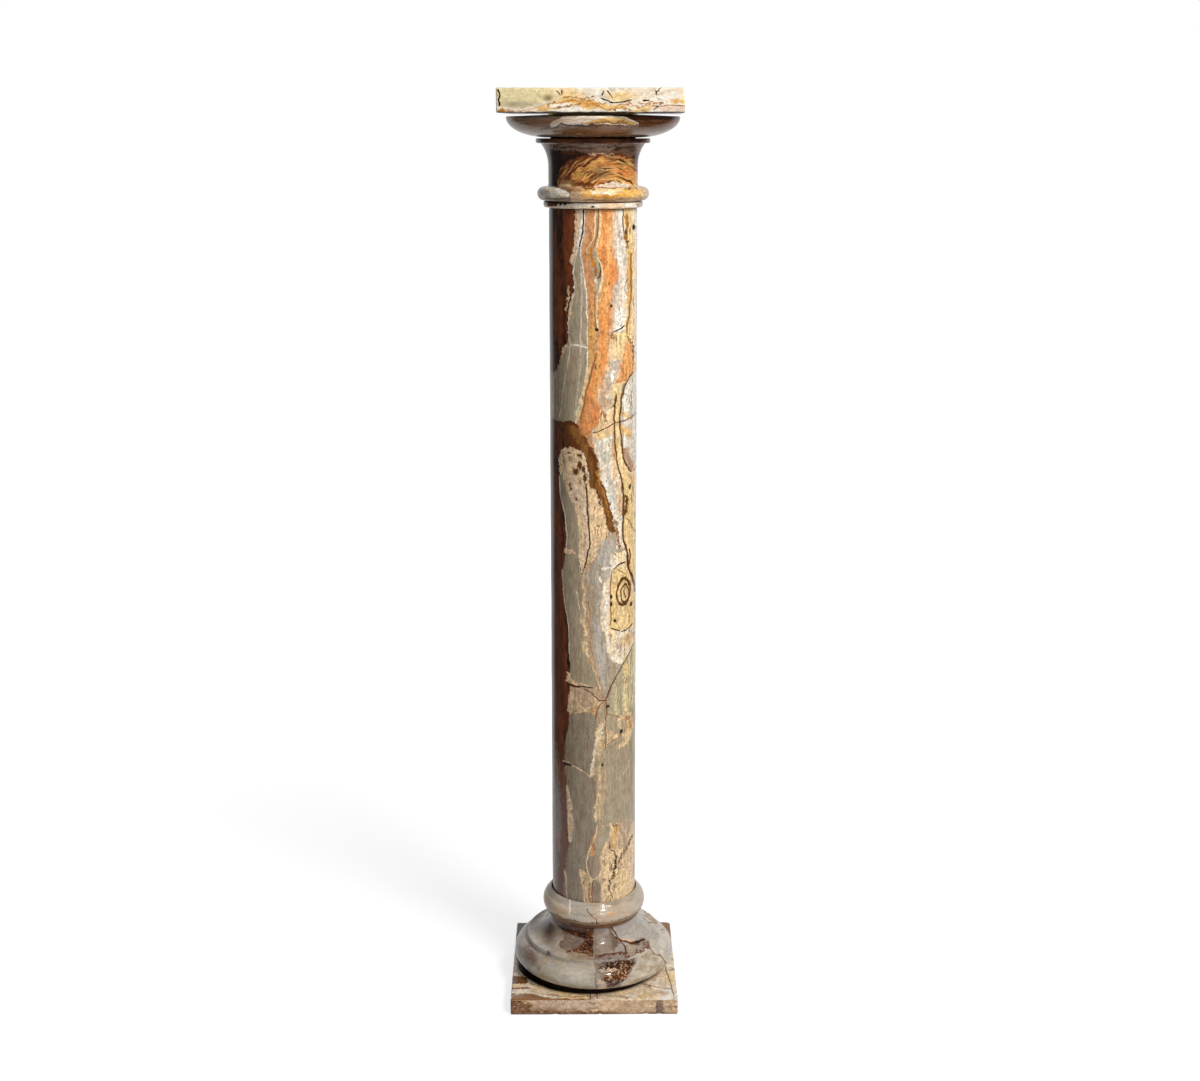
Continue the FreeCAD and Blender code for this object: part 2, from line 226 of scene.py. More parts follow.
def wear(places, inward, seed, arrises, chip_count, chip_size):
    """Moves points inward by a slow polish wave and by small chips along the arrises."""
    chance = random.Random(seed)
    chips = []
    for radius, height in arrises:
        for _ in range(chip_count):
            angle = chance.uniform(0, math.tau)
            size = chip_size * chance.uniform(0.5, 1.3)
            chips.append(((radius * math.cos(angle), radius * math.sin(angle), height), size))
    shift = Vector((7.1 * seed, 3.3 * seed, 1.7 * seed))
    depth = chipped(polish_wave(places, *TURNED_WAVE, shift), places, chips, CHIP_DEPTH)
    return places + inward * depth[:, None]


def placed(name, data):
    """A new object in the scene."""
    piece = bpy.data.objects.new(name, data)
    bpy.context.scene.collection.objects.link(piece)
    return piece


def new_piece(name, places, faces, body, node):
    """Makes the mesh of a stone, in place of its CAD piece."""
    mesh = bpy.data.meshes.new(name)
    mesh.from_pydata((places * MM).tolist(), [], faces)
    mesh.polygons.foreach_set("use_smooth", [True] * len(mesh.polygons))
    mesh.update()
    piece = placed(name, mesh)
    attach(piece, body)
    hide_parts(node)
    return piece


def turned(node, outline, seed, arrises, chip_count=5, chip_size=2.5):
    """A turned stone: its outline carried round the axis, then worn."""
    points = outline.eased().points
    rows = len(points)
    angles = [math.tau * i / AROUND for i in range(AROUND)]
    places = np.array([(r * math.cos(a), r * math.sin(a), z) for a in angles for r, z in points])
    inward = -places * (1, 1, 0)
    inward /= np.linalg.norm(inward, axis=1)[:, None]
    faces = []
    for i in range(AROUND):
        here, beyond = i * rows, (i + 1) % AROUND * rows
        for k in range(rows):
            after = (k + 1) % rows
            faces.append((here + k, beyond + k, beyond + after, here + after))
    bore = np.hypot(places[:, 0], places[:, 1]) < STONE_BORE + STEP
    worn = wear(places, inward, seed, arrises, chip_count, chip_size)
    worn[bore] = places[bore]
    return new_piece(node + "_stone", worn, faces, "column", node)


def slab_grid(half, foot, top, radius):
    """Points and faces of a box with rounded edges, on a fine grid."""
    bm = bmesh.new()
    wide = max(2, round(2 * half / SLAB_STEP))
    tall = max(2, round((top - foot) / SLAB_STEP))
    across = [-half + 2 * half * i / wide for i in range(wide + 1)]
    upward = [foot + (top - foot) * i / tall for i in range(tall + 1)]
    sides = []
    for end in (foot, top):
        sides.append([[(x, y, end) for y in across] for x in across])
    for end in (-half, half):
        sides.append([[(end, y, z) for z in upward] for y in across])
        sides.append([[(x, end, z) for z in upward] for x in across])
    for side in sides:
        verts = [[bm.verts.new(p) for p in row] for row in side]
        for a, b in zip(verts, verts[1:]):
            for i in range(len(a) - 1):
                bm.faces.new((a[i], a[i + 1], b[i + 1], b[i]))
    bmesh.ops.remove_doubles(bm, verts=bm.verts, dist=0.001)
    bmesh.ops.recalc_face_normals(bm, faces=bm.faces)
    low = Vector((-half + radius, -half + radius, foot + radius))
    high = Vector((half - radius, half - radius, top - radius))
    for vert in bm.verts:
        core = Vector(tuple(min(max(vert.co[k], low[k]), high[k]) for k in range(3)))
        out = vert.co - core
        if out.length > 0:
            vert.co = core + out.normalized() * radius
    bm.verts.index_update()
    places = np.array([vert.co[:] for vert in bm.verts])
    faces = [[vert.index for vert in face.verts] for face in bm.faces]
    bm.free()
    return places, faces


def round_cutter(radius, foot, top):
    """A round bar that cuts a hole, as a hidden helper."""
    mesh = bpy.data.meshes.new("cutter")
    bm = bmesh.new()
    bmesh.ops.create_cone(
        bm, cap_ends=True, segments=64, radius1=radius * MM, radius2=radius * MM, depth=(top - foot) * MM
    )
    bmesh.ops.translate(bm, verts=bm.verts, vec=(0, 0, (foot + top) / 2 * MM))
    bm.to_mesh(mesh)
    bm.free()
    return placed("cutter", mesh)


def bored(piece, *holes):
    """Cuts round holes, each (radius, foot, top), into a piece."""
    for hole in holes:
        cutter = round_cutter(*hole)
        modifier = piece.modifiers.new("hole", "BOOLEAN")
        modifier.operation = "DIFFERENCE"
        modifier.solver = "EXACT"
        modifier.object = cutter
        graph = bpy.context.evaluated_depsgraph_get()
        mesh = bpy.data.meshes.new_from_object(piece.evaluated_get(graph))
        piece.modifiers.clear()
        piece.data = mesh
        bpy.data.objects.remove(cutter)
    return piece


def slab(node, side, body, radius, seed, turn, *holes):
    """A square stone slab with eased and chipped edges."""
    low, high = extent(node)
    half = side / 2
    places, faces = slab_grid(half, low.z, high.z, radius)
    middle = np.array((0, 0, (low.z + high.z) / 2))
    reach = (half - SLAB_CORE_INSET, half - SLAB_CORE_INSET, SLAB_CORE_HALF)
    core = np.clip(places, middle - reach, middle + reach)
    inward = core - places
    length = np.linalg.norm(inward, axis=1)[:, None]
    inward = inward / np.maximum(length, 1e-9)
    chance = random.Random(seed)
    chips = []
    for _ in range(SLAB_CHIPS):
        along = chance.uniform(-half, half)
        edge = half * chance.choice((-1, 1))
        height = chance.choice((low.z, high.z))
        centre = (along, edge, height) if chance.random() < 0.5 else (edge, along, height)
        chips.append((centre, chance.uniform(*SLAB_CHIP_SIZES)))
    depth = chipped(polish_wave(places, *SLAB_WAVE), places, chips, SLAB_CHIP_DEPTH)
    places = places + inward * depth[:, None]
    angle = math.radians(turn)
    spun = places.copy()
    spun[:, 0] = places[:, 0] * math.cos(angle) - places[:, 1] * math.sin(angle)
    spun[:, 1] = places[:, 0] * math.sin(angle) + places[:, 1] * math.cos(angle)
    return bored(new_piece(node + "_stone", spun, faces, body, node), *holes)


def plinth():
    low, high = extent("plinth_slab")
    bore = (STONE_BORE, low.z - 1, high.z + 1)
    recess = (LOWER_RECESS_RADIUS, low.z - 1, low.z + LOWER_RECESS_DEPTH)
    return slab("plinth_slab", high.x - low.x, "column", PLINTH_EDGE_RADIUS, 3, 0, bore, recess)


def abacus():
    low, high = extent("abacus_slab")
    hole = (BUSH_HOLE_RADIUS, low.z - 1, low.z + BUSH_HOLE_DEPTH)
    return slab("abacus_slab", ABACUS_SIDE, "top", ABACUS_EDGE_RADIUS, 5, ABACUS_REST_TURN, hole)


def base_moulding():
    low, high = extent("base_moulding")
    equator = low.z + TORUS_FOOT_HEIGHT + TORUS_LOWER_RADIUS
    lower_core = high.x - TORUS_LOWER_RADIUS
    upper_core = high.x - TORUS_UPPER_RADIUS
    foot_radius = lower_core - TORUS_FOOT_INSET
    fillet_radius = high.x - BASE_FILLET_INSET
    fillet_top = equator + TORUS_UPPER_RADIUS + BASE_FILLET_HEIGHT
    scotia = high.z - fillet_top
    rim = fillet_radius - SCOTIA_LEDGE
    last = math.degrees(math.acos((fillet_radius - upper_core) / TORUS_UPPER_RADIUS))
    outline = (
        Outline(STONE_BORE, low.z)
        .hidden(foot_radius, low.z)
        .line(foot_radius, low.z + TORUS_FOOT_HEIGHT)
        .line(lower_core, low.z + TORUS_FOOT_HEIGHT)
        .arc((lower_core, equator), TORUS_LOWER_RADIUS, TORUS_LOWER_RADIUS, -90, 0)
        .arc((upper_core, equator), TORUS_UPPER_RADIUS, TORUS_UPPER_RADIUS, 0, last)
        .line(fillet_radius, fillet_top)
        .line(rim, fillet_top)
        .arc((rim, high.z), scotia, scotia, 270, 180)
        .hidden(STONE_BORE, high.z)
    )
    return turned("base_moulding", outline, 11, [(fillet_radius, fillet_top)], 7, 2.2)


def base_collar():
    low, high = extent("base_collar")
    round_foot = low.z + COLLAR_FOOT_HEIGHT
    round_top = high.z - COLLAR_BEVEL_HEIGHT
    foot_radius = COLLAR_ARRIS_RADIUS - COLLAR_FOOT_INSET
    chord = (round_top - round_foot) / 2
    depth = high.x - COLLAR_ARRIS_RADIUS
    bend = (chord * chord + depth * depth) / (2 * depth)
    swing = math.degrees(math.asin(chord / bend))
    outline = (
        Outline(STONE_BORE, low.z)
        .hidden(foot_radius, low.z)
        .line(foot_radius, round_foot)
        .line(COLLAR_ARRIS_RADIUS, round_foot)
        .arc((high.x - bend, round_foot + chord), bend, bend, -swing, swing)
        .line(SOCKET_RADIUS + COLLAR_LAND, high.z)
        .line(SOCKET_RADIUS, high.z)
        .line(SOCKET_RADIUS, high.z - SOCKET_DEPTH)
        .hidden(STONE_BORE, high.z - SOCKET_DEPTH)
    )
    arrises = [(COLLAR_ARRIS_RADIUS, round_top), (SOCKET_RADIUS, high.z)]
    return turned("base_collar", outline, 12, arrises, 5, 2.0)


def shaft():
    low, high = extent("shaft")
    outline = (
        Outline(STONE_BORE, low.z, SHAFT_STEP)
        .hidden(high.x - SHAFT_CHAMFER, low.z)
        .line(high.x, low.z + SHAFT_CHAMFER)
        .line(SHAFT_HEAD_RADIUS, high.z - SHAFT_CHAMFER)
        .line(SHAFT_HEAD_RADIUS - SHAFT_CHAMFER, high.z)
        .hidden(STONE_BORE, high.z)
    )
    return turned("shaft", outline, 13, [(SHAFT_HEAD_RADIUS, high.z)], 5, 2.5)


def neck_fillet():
    low, high = extent("neck_fillet")
    core = (high.x - NECK_FILLET_ROUNDING, low.z + NECK_FILLET_ROUNDING)
    outline = (
        Outline(STONE_BORE, low.z, STEP / 2)
        .hidden(SHAFT_HEAD_RADIUS - SHAFT_CHAMFER, low.z)
        .line(core[0], low.z)
        .arc(core, NECK_FILLET_ROUNDING, NECK_FILLET_ROUNDING, -90, 0)
        .line(high.x, high.z)
        .line(high.x - NECK_FILLET_ROUNDING, high.z)
        .hidden(STONE_BORE, high.z)
    )
    return turned("neck_fillet", outline, 14, [(high.x, high.z)], 6, 1.6)


def capital_neck():
    low, high = extent("capital_neck")
    middle = low.z + ASTRAGAL_SECTION
    astragal_top = low.z + 2 * ASTRAGAL_SECTION
    flare_foot = astragal_top + NECK_COVE + NECK_STRAIGHT
    annulet_foot = high.z - ANNULET_HEIGHT
    flare_height = annulet_foot - flare_foot
    bend = (flare_height**2 + FLARE_SPREAD**2) / (2 * FLARE_SPREAD)
    swing = math.degrees(math.asin(flare_height / bend))
    outline = (
        Outline(STONE_BORE, low.z, STEP / 1.5)
        .hidden(ASTRAGAL_CORE, low.z)
        .arc((ASTRAGAL_CORE, middle), ASTRAGAL_SECTION, ASTRAGAL_SECTION, -90, 90)
        .line(NECK_RADIUS + NECK_COVE, astragal_top)
        .arc((NECK_RADIUS + NECK_COVE, astragal_top + NECK_COVE), NECK_COVE, NECK_COVE, 270, 180)
        .line(NECK_RADIUS, flare_foot)
        .arc((NECK_RADIUS + bend, flare_foot), bend, bend, 180, 180 - swing)
        .line(high.x - ANNULET_CHAMFER, annulet_foot)
        .line(high.x, annulet_foot + ANNULET_CHAMFER)
        .line(high.x, high.z)
        .line(high.x - 2 * ANNULET_CHAMFER, high.z)
        .hidden(STONE_BORE, high.z)
    )
    return turned("capital_neck", outline, 15, [(high.x, annulet_foot), (high.x, high.z)], 7, 2.0)


def echinus():
    low, high = extent("echinus")
    rim = high.z - ECHINUS_CROWN - ECHINUS_RIM_LAND
    spread = high.x - ECHINUS_FOOT_RADIUS
    outline = (
        Outline(STONE_BORE, low.z)
        .hidden(ECHINUS_FOOT_RADIUS, low.z)
        .arc((ECHINUS_FOOT_RADIUS, rim), spread, rim - low.z, -90, 0)
        .line(high.x, rim + ECHINUS_RIM_LAND)
        .line(SEAT_RADIUS, high.z)
        .hidden(UPPER_RECESS_RADIUS, high.z)
        .hidden(UPPER_RECESS_RADIUS, high.z - UPPER_RECESS_DEPTH)
        .hidden(STONE_BORE, high.z - UPPER_RECESS_DEPTH)
    )
    return turned("echinus", outline, 16, [(high.x, rim)], 6, 2.2)


# Stone colours, as they look in plain light

def tone(red, green, blue):
    """A colour given as screen values from 0 to 255."""
    linear = [c / 255 / 12.92 if c <= 10 else ((c / 255 + 0.055) / 1.055) ** 2.4 for c in (red, green, blue)]
    return (*linear, 1.0)


BLACK = tone(24, 10, 6)
BLACK_BROWN = tone(46, 22, 10)
MAROON = tone(104, 54, 22)
RED_BROWN = tone(132, 68, 34)
UMBER = tone(100, 60, 24)
BROWN = tone(144, 96, 48)
OCHRE = tone(192, 128, 54)
GOLD = tone(224, 170, 92)
ORANGE = tone(240, 172, 104)
DEEP_ORANGE = tone(226, 140, 76)
SALMON = tone(208, 144, 96)
TAN = tone(212, 154, 104)
CREAM = tone(240, 208, 156)
YELLOW = tone(238, 204, 142)
PINK = tone(238, 202, 162)
IVORY = tone(234, 214, 186)
WHITE = tone(244, 234, 218)
LILAC = tone(226, 196, 170)
PEARL = tone(214, 202, 184)
KHAKI = tone(230, 212, 164)
OLIVE = tone(150, 128, 84)
GREEN_GREY = tone(174, 159, 131)
GREY = tone(176, 155, 128)
TAUPE = tone(148, 126, 106)
SLATE = tone(112, 100, 88)
ASH = tone(192, 182, 168)
DRAB = tone(156, 143, 120)
FOG = tone(172, 161, 152)
SAND = tone(214, 178, 142)
EARTH = tone(150, 108, 74)
MAUVE = tone(130, 96, 78)


class Nodes:
    """Short ways to build a node tree."""

    def __init__(self, tree):
        self.tree = tree
        self.tree.nodes.clear()

    def node(self, kind):
        return self.tree.nodes.new(kind)

    def put(self, socket, value):
        if isinstance(value, bpy.types.NodeSocket):
            self.tree.links.new(value, socket)
        else:
            socket.default_value = value

    def math(self, operation, *values):
        node = self.node("ShaderNodeMath")
        node.operation = operation
        for socket, value in zip(node.inputs, values):
            self.put(socket, value)
        return node.outputs[0]

    def sum(self, a, b):
        return self.math("ADD", a, b)

    def times(self, a, b):
        return self.math("MULTIPLY", a, b)

    def vector_math(self, operation, *values):
        node = self.node("ShaderNodeVectorMath")
        node.operation = operation
        for socket, value in zip(node.inputs, values):
            self.put(socket, value)
        return node.outputs

    def scaled(self, vector, factor):
        node = self.node("ShaderNodeVectorMath")
        node.operation = "SCALE"
        self.put(node.inputs[0], vector)
        self.put(node.inputs["Scale"], factor)
        return node.outputs[0]

    def split(self, vector):
        node = self.node("ShaderNodeSeparateXYZ")
        self.put(node.inputs[0], vector)
        return node.outputs[0], node.outputs[1], node.outputs[2]

    def channels(self, colour, mode="RGB"):
        node = self.node("ShaderNodeSeparateColor")
        node.mode = mode
        self.put(node.inputs[0], colour)
        return node.outputs[0], node.outputs[1], node.outputs[2]

    def joined(self, *parts):
        node = self.node("ShaderNodeCombineXYZ")
        for socket, part in zip(node.inputs, parts):
            self.put(socket, part)
        return node.outputs[0]

    def noise(self, vector, length, detail, output="Fac"):
        """Noise whose largest features are about length across."""
        node = self.node("ShaderNodeTexNoise")
        self.put(node.inputs["Vector"], vector)
        node.inputs["Scale"].default_value = 1 / length
        node.inputs["Detail"].default_value = detail
        return node.outputs[output]

    def crystals(self, vector, length):
        """A different shade in each grain of crystal."""
        node = self.node("ShaderNodeTexVoronoi")
        self.put(node.inputs["Vector"], vector)
        node.inputs["Scale"].default_value = 1 / length
        return self.channels(node.outputs["Color"])[0]

    def ramp(self, value, start, end, low=0.0, high=1.0):
        """A smooth step from low at start to high at end."""
        node = self.node("ShaderNodeMapRange")
        node.interpolation_type = "SMOOTHSTEP"
        node.clamp = False
        self.put(node.inputs["Value"], value)
        node.inputs["From Min"].default_value = start
        node.inputs["From Max"].default_value = end
        node.inputs["To Min"].default_value = low
        node.inputs["To Max"].default_value = high
        return node.outputs[0]

    def mixed(self, factor, a, b):
        node = self.node("ShaderNodeMix")
        node.data_type = "RGBA"
        self.put(node.inputs[0], factor)
        self.put(node.inputs[6], a)
        self.put(node.inputs[7], b)
        return node.outputs[2]

    def blended(self, factor, a, b):
        """One shader fading into another."""
        node = self.node("ShaderNodeMixShader")
        self.put(node.inputs[0], factor)
        self.put(node.inputs[1], a)
        self.put(node.inputs[2], b)
        return node.outputs[0]

    def diffuse(self, grey):
        node = self.node("ShaderNodeBsdfDiffuse")
        node.inputs["Color"].default_value = (grey, grey, grey, 1)
        return node.outputs[0]

    def curve(self, value, points):
        """A smooth curve through points (value, result)."""
        node = self.node("ShaderNodeFloatCurve")
        node.mapping.use_clip = False
        node.mapping.extend = "HORIZONTAL"
        line = node.mapping.curves[0]
        line.points[0].location = points[0]
        line.points[1].location = points[-1]
        for at, result in points[1:-1]:
            line.points.new(at, result)
        for point in line.points:
            point.handle_type = "AUTO_CLAMPED"
        node.mapping.update()
        self.put(node.inputs["Value"], value)
        return node.outputs[0]

    def place_in_mm(self):
        return self.scaled(self.node("ShaderNodeTexCoord").outputs["Object"], 1 / MM)

    def embossed(self, shader, height, strength, depth):
        """Gives a shader a fine relief, depth in millimetres, and shows it."""
        bump = self.node("ShaderNodeBump")
        bump.inputs["Strength"].default_value = strength
        bump.inputs["Distance"].default_value = depth * MM
        self.put(bump.inputs["Height"], height)
        self.put(shader.inputs["Normal"], bump.outputs[0])
        self.shown_as(shader.outputs[0])

    def shown_as(self, shader):
        output = self.node("ShaderNodeOutputMaterial")
        self.put(output.inputs[0], shader)


def new_material(name):
    material = bpy.data.materials.new(name)
    material.use_nodes = True
    return material


def rows(text):
    """Rows of numbers from text such as "10 2 3, 8 1 2"."""
    return [tuple(float(value) for value in row.split()) for row in text.split(",")]


class Stone(Nodes):
    """One stone's material: a solid pattern in millimetres, drawn the way the front shows it."""

    def __init__(self, name, run=(1, 1, 0.1), front=-6.0, back=30.0, sway_x=40.0, sway_z=90.0, lift=0.0):
        self.material = new_material(name)
        super().__init__(self.material.node_tree)
        self.place = self.place_in_mm()
        self.x, self.y, self.z = self.split(self.place)
        self.coarse = self.noise(self.place, COARSE_LENGTH, 2, "Color")
        self.fine = self.noise(self.place, FINE_LENGTH, 3, "Color")
        self.cloud = self.noise(self.place, CLOUD_LENGTH, 3)
        bends = self.channels(self.coarse)
        ways = (self.x, self.y, self.z)
        bent = [self.sum(way, self.times(bend, STREAK_BEND)) for way, bend in zip(ways, bends)]
        self.flow = self.joined(*[self.times(way, squeeze) for way, squeeze in zip(bent, run)])
        self.tint = self.ramp(self.noise(self.flow, STREAK_LENGTH, 3), 0.34, 0.66)
        drift = self.ramp(self.y, front, back)
        wave = self.sum(self.noise(self.place, SWAY_LENGTH, 1), -0.5)
        x = self.sum(self.x, self.times(drift, self.times(wave, sway_x)))
        z = self.sum(self.z, self.times(drift, self.sum(self.times(wave, sway_z), lift)))
        self.look(x, z)
        self.colour = None
        self.hollow = None

    def look(self, across, upward, window=None):
        """Chooses the two directions that the next things are drawn in, and where they show."""
        self.window = window
        self.ways = {edge: self.shaken(across, upward, *shakes) for edge, shakes in EDGE_SHAKES.items()}

    def shaken(self, across, upward, coarse, fine):
        """A place moved a little by noise, so that edges come out natural."""
        shift_x, shift_z, _ = self.channels(self.coarse)
        across = self.sum(across, self.times(self.sum(shift_x, -0.5), 2 * coarse))
        upward = self.sum(upward, self.times(self.sum(shift_z, -0.5), 2 * coarse))
        if fine:
            shift_x, shift_z, _ = self.channels(self.fine)
            across = self.sum(across, self.times(self.sum(shift_x, -0.5), 2 * fine))
            upward = self.sum(upward, self.times(self.sum(shift_z, -0.5), 2 * fine))
        return across, upward, self.joined(across, upward)

    def two_tone(self, colour):
        """One colour, or a pair of colours streaked into each other."""
        if isinstance(colour[0], tuple):
            return self.mixed(self.tint, *colour)
        return colour

    def lay(self, mask, colour, hollow=0.0):
        """Puts a colour over what is there already."""
        if self.window is not None:
            mask = self.times(mask, self.window)
        self.colour = self.mixed(mask, self.colour, self.two_tone(colour))
        if hollow:
            dip = self.times(mask, hollow)
            self.hollow = dip if self.hollow is None else self.math("MAXIMUM", self.hollow, dip)

    def ground(self, colour):
        self.colour = self.two_tone(colour)

    def cloudy(self, colour, length, start, end):
        """Patches of another colour, at random."""
        self.lay(self.ramp(self.noise(self.place, length, 3), start, end), colour)

    def marbled(self, colour, length, width):
        """Thin wandering veins, at random."""
        gap = self.math("ABSOLUTE", self.sum(self.noise(self.place, length, 3), -0.5))
        self.lay(self.ramp(gap, width, width / 3), colour)

    def stripe(self, along, over, points, colour, soft, hollow=0.0, rim=None):
        """A stripe between two edges; points are (place along it, one edge, other edge)."""
        points = sorted(points)
        middles = [(at, (a + b) / 2) for at, a, b in points]
        halves = [(at, (b - a) / 2) for at, a, b in points]
        halves.insert(0, (points[0][0] - STRIPE_END, STRIPE_SHUT))
        halves.append((points[-1][0] + STRIPE_END, STRIPE_SHUT))
        gap = self.math("ABSOLUTE", self.math("SUBTRACT", over, self.curve(along, middles)))
        inside = self.math("SUBTRACT", self.curve(along, halves), gap)
        if rim:
            self.lay(self.ramp(inside, -0.3 - RIM_WIDTH, 0.3 - RIM_WIDTH), rim)
        mask = self.ramp(inside, -soft, soft)
        self.lay(mask, colour, hollow)
        return mask

    def band(self, colour, text, edge="clean", soft=0.5, rim=None):
        """An upright band; the text's rows are height, left, right."""
        x, z, _ = self.ways[edge]
        return self.stripe(z, x, rows(text), colour, soft, 0.0, rim)

    def layer(self, colour, text, edge="clean", soft=0.5, rim=None):
        """A flat-lying band; the text's rows are x, lower, upper."""
        x, z, _ = self.ways[edge]
        return self.stripe(x, z, rows(text), colour, soft, 0.0, rim)

    def line(self, colour, width, text, edge="smooth", soft=0.3, hollow=0.0):
        """A line through rows x, height: upright or flat-lying as the rows run."""
        x, z, _ = self.ways[edge]
        points = rows(text)
        if abs(points[0][0] - points[-1][0]) < abs(points[0][1] - points[-1][1]):
            points = [(up, out) for out, up in points]
            x, z = z, x
        self.stripe(x, z, [(at, c - width / 2, c + width / 2) for at, c in points], colour, soft, hollow)

    def crack(self, text, width=1.5, colour=BLACK_BROWN):
        self.line(colour, width, text, "clean", 0.35, 0.2)

    def reach(self, x, z, across, tall, edge):
        """How far a point is from a spot's middle, 1 at its rim."""
        near = (1 / across, 1 / tall, 0)
        shift = (-x / across, -z / tall, 0)
        moved = self.vector_math("MULTIPLY_ADD", self.ways[edge][2], near, shift)[0]
        return self.vector_math("LENGTH", moved)["Value"]

    def spot(self, colour, x, z, across, tall, edge="clean", soft=0.25, hollow=0.0):
        """An oval patch with half sizes across and tall."""
        self.lay(self.ramp(self.reach(x, z, across, tall, edge), 1 + soft, 1 - soft), colour, hollow)

    def pit(self, x, z, across, tall):
        """A natural hole in the stone."""
        self.spot(BLACK_BROWN, x, z, across, tall, "clean", 0.3, 1.0)

    def loop(self, colour, x, z, across, tall, width, edge="clean"):
        """An oval ring."""
        gap = self.math("ABSOLUTE", self.sum(self.reach(x, z, across, tall, edge), -1.0))
        rim = width / (across + tall)
        self.lay(self.ramp(gap, rim * 1.5, rim * 0.5), colour, 0.1)

    def grown(self, colour, x, z, across, tall, start, end):
        """Broken lines that run round a middle, like the rings in wood."""
        rings = self.times(self.reach(x, z, across, tall, "clean"), RING_COUNT)
        grain = self.noise(self.joined(rings, self.times(self.x, 0.05), self.times(self.z, 0.05)), 1.0, 3)
        self.lay(self.ramp(grain, start, end), colour)

    def finished(self, grain=0.5, streak=0.4, polish=0.1):
        """Crystal grain in the pale parts and fine striae in all, then the polished surface."""
        value = self.channels(self.colour, "HSV")[2]
        pale = self.ramp(value, 0.38, 0.62)
        speck = self.ramp(self.noise(self.place, 1.5, 2), 0.62, 0.72)
        self.colour = self.mixed(self.times(self.times(speck, pale), 0.9 * grain), self.colour, BROWN)
        gap = self.math("ABSOLUTE", self.sum(self.noise(self.flow, 7.0, 4), -0.5))
        broken = self.times(self.ramp(self.cloud, 0.5, 0.66), self.ramp(value, 0.5, 0.8))
        fissure = self.times(self.ramp(gap, 0.04, 0.015), broken)
        self.colour = self.mixed(self.times(fissure, 1.6 * grain), self.colour, UMBER)
        grit = self.ramp(self.noise(self.place, 0.8, 2), 0.3, 0.7, -0.2, 0.14)
        cell = self.ramp(self.crystals(self.place, 2.6), 0.0, 1.0, -0.4, 0.3)
        rough_grain = self.times(self.sum(grit, self.times(cell, pale)), grain)
        stria = self.ramp(self.noise(self.flow, 1.8, 3), 0.32, 0.68, -0.34 * streak, 0.3 * streak)
        shade = self.sum(self.sum(rough_grain, stria), self.ramp(self.cloud, 0.35, 0.65, 0.94, 1.05))
        shader = self.node("ShaderNodeBsdfPrincipled")
        self.put(shader.inputs["Base Color"], self.scaled(self.colour, shade))
        shader.inputs["IOR"].default_value = 1.5
        rough = self.ramp(self.cloud, 0.3, 0.7, polish, polish + 0.07)
        height = self.times(grit, 0.2)
        if self.hollow is not None:
            height = self.math("SUBTRACT", height, self.hollow)
            rough = self.math("MAXIMUM", rough, self.times(self.hollow, 0.6))
        self.put(shader.inputs["Roughness"], rough)
        self.embossed(shader, height, 0.4, 0.5)
        return self.material


# The shaft's pattern, from its head down to its foot

def shaft_head(stone):
    """Dark left band, grey wedge and the pink and white lines beside it, under the capital."""
    stone.band((TAN, SALMON), "884 -8 3, 850 -9 2, 830 -11 -3, 800 -8 3, 770 -7 4, 740 -7 4")
    stone.band((GOLD, TAN), "782 -6 2, 765 -5.5 3, 745 -6 5, 725 -5 2, 712 -3 -1", "ragged", 1.2)
    stone.band((PINK, SALMON), "884 -10 -6, 860 -11 -6, 848 -13 -9, 830 -14 -11, 800 -10 -8")
    stone.band((PINK, LILAC), "884 -22 -10, 860 -22 -11, 850 -22 -14, 838 -26 -15, 815 -23 -15, "
               "806 -22 -14, 790 -24 -20, 770 -28 -22, 750 -27 -20", "ragged")
    stone.band((GREEN_GREY, GREY), "846 -15.2 -14.6, 838 -16.5 -13.5, 820 -19.5 -11, 805 -18.5 -9, "
               "790 -20.5 -7.5, 770 -24 -7, 755 -25.5 -6.5, 743 -22.5 -7", "clean", 0.4, WHITE)
    stone.band((GREEN_GREY, GREY), "742 -27 -8, 730 -33 -7, 720 -37 -7, 705 -41 -9, 690 -42 -13, "
               "670 -42 -18, 655 -42 -19", "clean", 0.4, WHITE)
    stone.line(WHITE, 1.6, "-23 743, -15 742.2, -6 741.2")
    stone.line(IVORY, 1.2, "-23.5 748, -24.5 735, -27 720, -30 705, -33 685, -36 662")
    stone.line(PINK, 4.0, "-28 744, -31 738, -34 728", "clean", 1.0)
    stone.line(PEARL, 1.4, "-13 835, -12 800, -13 760, -14 720, -18 680, -20 664", "smooth", 0.8)
    stone.line(WHITE, 5.0, "-10.5 884, -10.5 866, -12.5 853, -15.5 841", "clean", 0.6)
    stone.line(BLACK_BROWN, 1.5, "-10 884, -10 866, -12 853, -15 841")
    stone.band((RED_BROWN, BLACK_BROWN), "884 -60 -19, 865 -60 -18, 850 -60 -19, 838 -60 -21.5, "
               "832 -60 -25, 822 -60 -20.5, 800 -60 -20, 785 -60 -23.5, 768 -60 -26, 750 -60 -26, "
               "740 -60 -31, 725 -60 -35, 710 -60 -41", "ragged")
    stone.band((BLACK_BROWN, BLACK), "884 -60 -43, 800 -60 -44, 740 -60 -44, 712 -60 -45", "clean", 2.5)
    stone.band((RED_BROWN, MAROON), "880 -30 -20, 862 -29 -19, 845 -30 -20, 832 -31 -25, 815 -26 -21, "
               "795 -25 -21", "ragged", 1.5)
    stone.line(PINK, 1.5, "-25 806, -26.5 790, -28.5 776", "ragged", 0.6)
    stone.line(PINK, 2.4, "-21 798, -23 782, -25 768", "ragged", 0.8)


